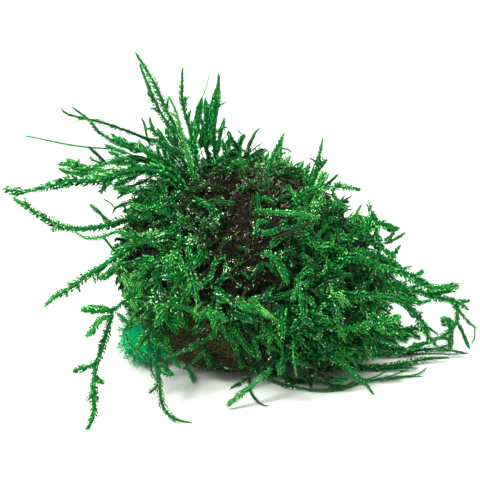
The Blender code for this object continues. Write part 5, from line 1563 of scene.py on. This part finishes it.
class MOSS_OT_coat(bpy.types.Operator):
    """The tangled coat: matted felt, old brown sprigs and green sprigs over them"""

    bl_idname = "moss.coat"
    bl_label = "Moss coat"

    def execute(self, context):
        coat = context.scene.moss_coat
        colours = context.scene.moss_colours
        self.leaf = model_leaf()
        self.finish = moss_finish("moss", colours, 0.42)
        self.old_finish = moss_finish("old moss", colours, 0.55)

        def shape(outward):
            places = CORE_MIDDLE + outward * felt_radii(outward, coat)[:, None]
            places[:, 2] = np.maximum(places[:, 2], FELT_LOWEST)
            return places

        made = [round_form("moss_felt", 6, shape, self.felt_finish(colours)),
                self.tangle(coat), *self.green(coat), self.standing(coat),
                self.dead_fibres(coat, colours)]
        for piece in made:
            report(piece, ["moss_mat"])
        return {"FINISHED"}

    def felt_finish(self, colours):
        """The matted inside of the coat, which fills the gaps between the sprigs, darkened as
        painted shade.
        """
        finish = Finish("moss felt", Roughness=0.85, Specular_IOR_Level=0.15)
        grain = finish.grain(finish.place(), 1100.0, 5.0, 0.7, 1.0)
        # Painted shade: matted moss, its own colours darkened nearly to black for the gaps between
        # sprigs
        stops = [(place, [share * part for part in colour]) for place, share, colour in
                 ((0.4, 0.06, colours.dull), (0.6, 0.3, colours.dull), (0.75, 0.4, colours.deep))]
        finish.drive("Base Color", finish.ramp(grain, stops))
        finish.raise_by(grain, 1.0, 0.0006)
        return finish.material

    def covered(self, outward, margin=0.0):
        """Which directions the coat covers, with a margin in degrees."""
        return latitudes(outward) > edge_latitudes(outward) + math.radians(margin)

    def oldness(self, places, outward):
        """How old and thin the moss is at each place, from 0 to 1."""
        old = np.zeros(len(places))
        facing = outward[:, 1] < 0.25
        for *middle, width in OLD_PATCHES:
            old = np.maximum(old, facing * np.clip(1.5 - seen_from(places, middle) / width, 0, 1))
        behind = np.clip(1.4 * lumps(places, 13.0, 5.0) + 0.1, 0, 1)
        return np.where(facing, old, behind)

    def tangle(self, coat):
        """Old sprigs lying every way over the felt."""
        rng = np.random.default_rng(5)
        outward = even_directions(coat.tangle, 0.03, rng)
        outward = outward[self.covered(outward, 2.0)]
        roots = CORE_MIDDLE + outward * (coat_radii(outward, coat)[:, None] - TANGLE["depth"])
        paths, kept = keep_inside(laid(roots, outward, TANGLE, rng), rng)
        paths, roots, outward = paths[kept], roots[kept], outward[kept]
        widths = rng.uniform(*TANGLE["width"], len(roots))
        tints = TANGLE["tint"] - TANGLE["old"] * self.oldness(roots, outward)
        tints += rng.normal(0, TANGLE["chance"], len(roots))
        # Painted light: old sprigs on the crown's lit side get fresher tints
        tints += TANGLE["crown"] * bright_crown(roots)
        grown = Grown()
        flats = chosen_flats(paths, outward, rng)
        radii = tapered(widths * TANGLE["stem"], TANGLE["knots"], TANGLE_LEAVES)
        add_stems(grown, paths, flats, radii, tints)
        add_leaves(grown, self.leaf, paths, flats, widths, tints, TANGLE_LEAVES, rng)
        return grown.make("moss_tangle", self.old_finish)

    def green(self, coat):
        """The green sprigs, short ones and long ones, as one piece for each side of the ball."""
        rng = np.random.default_rng(7)
        layers = [self.layer(coat, coat.short_sprigs, coat.short_length, 0.0, 1, rng),
                  self.layer(coat, coat.long_sprigs, coat.long_length, 1.0, 3, rng)]
        for name, angles in COAT_SIDES.items():
            grown = Grown()
            for outward, *parts in layers:
                inside = outward[:, 2] > CROWN_UPNESS
                if angles:
                    start, end = angles
                    compass = np.degrees(np.arctan2(outward[:, 1], outward[:, 0])) % 360
                    inside = ~inside & ((compass - start) % 360 < end - start)
                paths, flats, widths, tints = (part[inside] for part in parts)
                add_stems(grown, paths, flats, tapered(widths * 0.3, SPRIG_KNOTS, COAT_LEAVES),
                          tints - 0.06, flatness=0.4)
                add_leaves(grown, self.leaf, paths, flats, widths, tints, COAT_LEAVES, rng, coat)
            yield grown.make(name, self.finish)

    def layer(self, coat, tried, length, outer, most, rng):
        """Sprigs of one layer with their side twigs: where they are rooted and how they run."""
        outward = even_directions(tried, 0.04, rng)
        outward = outward[self.covered(outward, 1.0)]
        places = CORE_MIDDLE + outward * coat_radii(outward, coat)[:, None]
        old = self.oldness(places, outward)
        kept = rng.uniform(0, 1, len(places)) > COAT_THINNING * old
        outward, places, old = outward[kept], places[kept], old[kept]
        depth = rng.uniform(*COAT_DEPTHS, len(places))
        roots = places - outward * depth[:, None]
        hang = np.clip(outward @ BULGE_TOWARDS, 0, 1)[:, None]
        left = np.clip(-outward[:, :1], 0, 1)
        low = np.clip(-outward[:, 2:], 0, 1)
        flow = hang * BULGE_FLOW + left * LEFT_FLOW + low * LOW_FLOW + outward * OUTWARD_FLOW
        flow = flow + DRIFT_FLOW * drift_at(places, DRIFT_SIZE)
        loose = lying(outward, rng)
        rise = rng.uniform(*COAT_RISES, (len(places), 1)) + 0.25 * outer * hang
        heading = outward * rise + loose * (1.0 - 0.2 * outer) + flow * FLOW_SHARE
        lengths = length * rng.uniform(*COAT_LENGTHS, len(places)) * (1 + 0.25 * hang[:, 0])
        pulls = COAT_DROOP - outward * (0.8 - 0.6 * outer)
        paths = grow_paths(roots, heading, lengths, pulls, 0.8, SPRIG_KNOTS, rng)
        paths, kept = keep_inside(paths, rng)
        paths, outward, places, old, depth = (
            part[kept] for part in (paths, outward, places, old, depth))
        widths = coat.sprig_width * rng.uniform(*COAT_WIDTHS, len(places)) * (1 + 0.3 * outer)
        # Painted shade on sprigs rooted deeper and painted light on the crown's lit side are in
        # their tints
        tints = (coat.freshness + TINTS["patches"] * lumps(places, 9.0, 3.0)
                 + rng.normal(0, TINTS["chance"], len(places)) - TINTS["old"] * old
                 - TINTS["deep"] * (depth - sum(COAT_DEPTHS) / 2)
                 + TINTS["long"] * outer + TINTS["crown"] * bright_crown(places))
        tints = np.maximum(tints - TINTS["front"] * (outward[:, 1] < 0.1), TINTS["least"])
        flats = chosen_flats(paths, outward, rng)
        twigs, *parts = side_twigs(paths, flats, widths, tints, most, rng)
        twigs, kept = keep_inside(twigs, rng)
        twigs, *parts = (part[kept] for part in (twigs, *parts))
        owners = np.array([outward[np.linalg.norm(places - twig, axis=1).argmin()]
                           for twig in twigs[:, 0]])
        longer = np.stack([resampled(twig, SPRIG_KNOTS) for twig in twigs])
        return [np.concatenate(pair) for pair in zip((outward, paths, flats, widths, tints),
                                                     (owners, longer, *parts))]

    def dead_fibres(self, coat, colours):
        """Thin curly brown fibres where the moss is old: painted light on the crown, painted shade
        in the hollow.
        """
        rng = np.random.default_rng(41)
        outward = even_directions(coat.dead_fibres, 0.03, rng)
        outward = outward[self.covered(outward)]
        roots = CORE_MIDDLE + outward * (felt_radii(outward, coat)[:, None] + 0.1)
        roots += outward * (DEAD_FIBRES["crown_lift"] * bright_crown(roots))[:, None]
        old = self.oldness(roots, outward)
        kept = rng.uniform(0, 1, len(old)) < DEAD_FIBRES["often"] * old
        roots, outward = roots[kept], outward[kept]
        paths = laid(roots, outward, DEAD_FIBRES, rng)
        flats = chosen_flats(paths, outward, rng)
        # Painted light: more dead fibres are pale on the crown's lit side
        rare = DEAD_FIBRES["rare_pale"] - DEAD_FIBRES["crown_painted_light"] * bright_crown(roots)
        pale = rng.uniform(0, 1, len(paths)) ** rare
        # Painted shade: fibres in the hollow in front are darkened nearly to black
        away = seen_from(roots, DARK_MIDDLE) / DARK_REACH
        pale *= 1 - DEAD_FIBRES["hollow_painted_shade"] * np.exp(-away**4)
        stops = [(0.0, [0.35 * part for part in colours.old]), (0.25, colours.old),
                 (0.6, colours.dead), (1.0, colours.bleached)]
        finish = fibre_finish("dead fibre", stops, Roughness=0.6, Specular_IOR_Level=0.15)
        return fibre_piece("moss_dead_fibres", paths, flats, DEAD_FIBRES["thick"], pale, finish)

    def standing(self, coat):
        """The short shoots that stand out on the coat, listed one by one.

        One that starts beside the ball forks off the nearest shoot in the front view.
        """
        rng = np.random.default_rng(31)
        grown = Grown()
        carriers = [self.outside(smooth_route(shoot_course(group, name)[1], CARRIER_KNOTS), coat)
                    for group in (SHOOTS, FORKS) for name in group]
        for rows, look in ((SPRIGS, SPRIG_LEAVES), (BLADES, BLADE_LEAVES)):
            for tint, width, lift, *flat in rows:
                points = list(zip(flat[::2], flat[1::2]))
                route = self.standing_route(points, lift, coat, np.concatenate(carriers))
                carriers.append(self.outside(route[0], coat))
                toward = unit(route[:, 5] - CORE_MIDDLE) * 0.9 + SPRIG_FACING
                flats = chosen_flats(route, toward, rng, look["stray"])
                widths = np.array([look["wider"] + look["times"] * width])
                tints = np.array([tint])
                radii = tapered(widths * look["stem"], STANDING_KNOTS, look)
                add_stems(grown, route, flats, radii, tints - 0.05, flatness=0.4)
                add_leaves(grown, self.leaf, route, flats, widths, tints, look, rng)
        return grown.make("moss_standing_sprigs", self.finish)

    def outside(self, places, coat):
        """Those of the places that are not inside the coat."""
        return places[above_coat(places, coat) > -JOINT_INSIDE]

    def standing_route(self, points, lift, coat, joints):
        """How one of them runs, from its root in the coat or its joint with what bears it."""
        places, rooted = settle(points, lift, coat)
        if rooted:
            outward = unit(places[:1] - CORE_MIDDLE)
            places = [places[0] - outward[0] * (SPRIG_ROOT_DEPTH + lift), *places]
        else:
            away = seen_from(joints, points[0])
            joint = joints[away.argmin()]
            passed = 1 if away.min() < JOINT_REACH else 0
            places = [joint, *(from_view(*point, -joint[1]) for point in points[passed:])]
        route = smooth_route(places, STANDING_KNOTS)[None]
        route[:, :, 2] = np.maximum(route[:, :, 2], SPRIG_LOWEST)
        return route


class MOSS_OT_shoots(bpy.types.Operator):
    """The long leafy shoots, one piece for each"""

    bl_idname = "moss.shoots"
    bl_label = "Long shoots"

    def execute(self, context):
        self.leaf = model_leaf()
        self.finish = moss_finish("moss shoot", context.scene.moss_colours, 0.4)
        courses = [(group, name) for group in (SHOOTS, BACK_SHOOTS, FORKS) for name in group]
        for seed, (group, name) in enumerate(courses, 101):
            made = self.shoot(name, *shoot_course(group, name), np.random.default_rng(seed))
            report(made, ["shoot_" + name])
        return {"FINISHED"}

    def shoot(self, name, width, points, twigs, rng):
        """One shoot: its stem, the leaves along it and its side twigs."""
        grown = Grown()
        route = smooth_route(points, SHOOT_KNOTS)[None]
        facing = SHOOT_FACING + rng.normal(0, SHOOT_FACING_STRAY, (1, 3))
        flats = chosen_flats(route, facing, rng)
        fresh, narrow, share = SHOOT_LOOKS.get(name, SHOOT_USUAL_LOOK)
        width *= share
        widths = np.array([width])
        tints = np.array([fresh])
        look = {**SHOOT_LEAVES, "narrow": narrow}
        radii = tapered(widths * SHOOT_STEM, SHOOT_KNOTS, look)
        if name == STUB:
            look = STUB_LEAVES
            root = route[:, :STUB_ROOT_KNOTS]
            add_stems(grown, root, flats, np.full(root.shape[:2], STUB_ROOT_RADIUS),
                      tints * STUB_ROOT_TINT)
            route = route[:, STUB_LEAFY_KNOT:]
            radii = np.full(route.shape[:2], width * STUB_STEM)
        add_stems(grown, route, flats, radii, tints - 0.04, sides=6)
        add_leaves(grown, self.leaf, route, flats, widths, tints, look, rng)
        for twig in twigs:
            self.side_twig(grown, route[0], twig, width, tints[0], rng)
        return grown.make("leafy_" + name, self.finish)

    def side_twig(self, grown, route, tip, width, tint, rng):
        """A small shoot that leaves the stem a little before its nearest point."""
        nearest = np.linalg.norm(route - tip, axis=1).argmin()
        start = route[max(0, nearest - TWIG_START)]
        ahead = unit((route[min(len(route) - 1, nearest + 1)] - start)[None])[0]
        middle = (start + tip) / 2 + ahead * TWIG_BEND * np.linalg.norm(tip - start)
        path = smooth_route([start, middle, tip], TWIG_KNOTS)[None]
        flats = chosen_flats(path, TWIG_FACING, rng)
        widths = np.array([max(TWIG_LEAST_WIDTH, width * TWIG_WIDTH)])
        tints = np.array([tint + TWIG_FRESHER])
        radii = tapered(widths * TWIG_STEM, TWIG_KNOTS, SHOOT_LEAVES)
        add_stems(grown, path, flats, radii, tints - 0.12)
        add_leaves(grown, self.leaf, path, flats, widths, tints, SHOOT_LEAVES, rng)


class MOSS_OT_stage(bpy.types.Operator):
    """The pale floor, the soft lights and the camera"""

    bl_idname = "moss.stage"
    bl_label = "Stage"

    def execute(self, context):
        settings = context.scene.moss_stage
        self.floor(settings)
        self.light("key light", (-0.5, -0.55, 0.75), 0.3, settings.key_power)
        self.light("top light", (0.05, -0.1, 1.0), 1.2, settings.top_power)
        self.light("fill light", (0.1, -1.2, 0.35), 1.0, settings.fill_power)
        self.surroundings(context.scene, settings)
        self.camera(context.scene, settings)
        return {"FINISHED"}

    def floor(self, settings):
        """A wide pale floor."""
        deselect()
        bpy.ops.mesh.primitive_plane_add(size=settings.floor_size, location=(0, 0, 0))
        floor = bpy.context.object
        floor.name = "floor"
        bpy.ops.object.transform_apply(location=True, rotation=True, scale=True)
        finish = Finish("floor", Roughness=0.8, Specular_IOR_Level=0.2,
                        Base_Color=(*settings.floor_colour, 1))
        floor.data.materials.append(finish.material)

    def light(self, name, place, size, power):
        """A square soft light that looks at the ball."""
        lamp = bpy.data.lights.new(name, "AREA")
        lamp.size = size
        lamp.energy = power
        made = bpy.data.objects.new(name, lamp)
        bpy.context.scene.collection.objects.link(made)
        made.location = place
        towards = Vector(LIT_PLACE) - made.location
        made.rotation_euler = towards.to_track_quat("-Z", "Y").to_euler()

    def surroundings(self, scene, settings):
        """Plain white all round."""
        world = bpy.data.worlds.new("surroundings")
        scene.world = world
        world.use_nodes = True
        back = world.node_tree.nodes["Background"]
        back.inputs["Color"].default_value = (1, 1, 1, 1)
        back.inputs["Strength"].default_value = settings.sky

    def camera(self, scene, settings):
        """The front view."""
        lens = bpy.data.cameras.new("camera")
        lens.lens = settings.lens
        lens.clip_start = 0.01
        made = bpy.data.objects.new("camera", lens)
        scene.collection.objects.link(made)
        back = Vector(VIEW_BACK)
        made.location = Vector(VIEW_AIM) * MM + back * VIEW_DISTANCE * MM
        made.rotation_euler = (-back).to_track_quat("-Z", "Y").to_euler()
        scene.camera = made
        scene.view_settings.view_transform = "Standard"


class MOSS_PT_panel(bpy.types.Panel):
    """Lists the settings and the steps"""

    bl_idname = "MOSS_PT_panel"
    bl_label = "Moss ball"
    bl_space_type = "VIEW_3D"
    bl_region_type = "UI"
    bl_category = "Moss ball"

    def draw(self, context):
        for operator in OPERATORS:
            self.layout.operator(operator.bl_idname)
        for key in SETTINGS:
            group = getattr(context.scene, key)
            box = self.layout.box()
            for name in group.bl_rna.properties.keys():
                if name not in {"rna_type", "name"}:
                    box.prop(group, name)


SETTINGS = {
    "moss_core": CoreSettings,
    "moss_wadding": WaddingSettings,
    "moss_coat": CoatSettings,
    "moss_colours": MossColours,
    "moss_stage": StageSettings,
}
OPERATORS = (MOSS_OT_core, MOSS_OT_wadding, MOSS_OT_coat, MOSS_OT_shoots, MOSS_OT_stage)


def register():
    """Make the settings, the operators and the panel known to Blender."""
    for group in SETTINGS.values():
        bpy.utils.register_class(group)
    for key, group in SETTINGS.items():
        setattr(bpy.types.Scene, key, PointerProperty(type=group))
    for operator in OPERATORS:
        bpy.utils.register_class(operator)
    bpy.utils.register_class(MOSS_PT_panel)


def unregister():
    """Undo what register did."""
    bpy.utils.unregister_class(MOSS_PT_panel)
    for operator in reversed(OPERATORS):
        bpy.utils.unregister_class(operator)
    for key, group in SETTINGS.items():
        delattr(bpy.types.Scene, key)
        bpy.utils.unregister_class(group)


def main():
    """Dress the ball."""
    register()
    bpy.ops.moss.core()
    bpy.ops.moss.wadding()
    bpy.ops.moss.coat()
    bpy.ops.moss.shoots()
    bpy.ops.moss.stage()


if __name__ == "__main__":
    main()
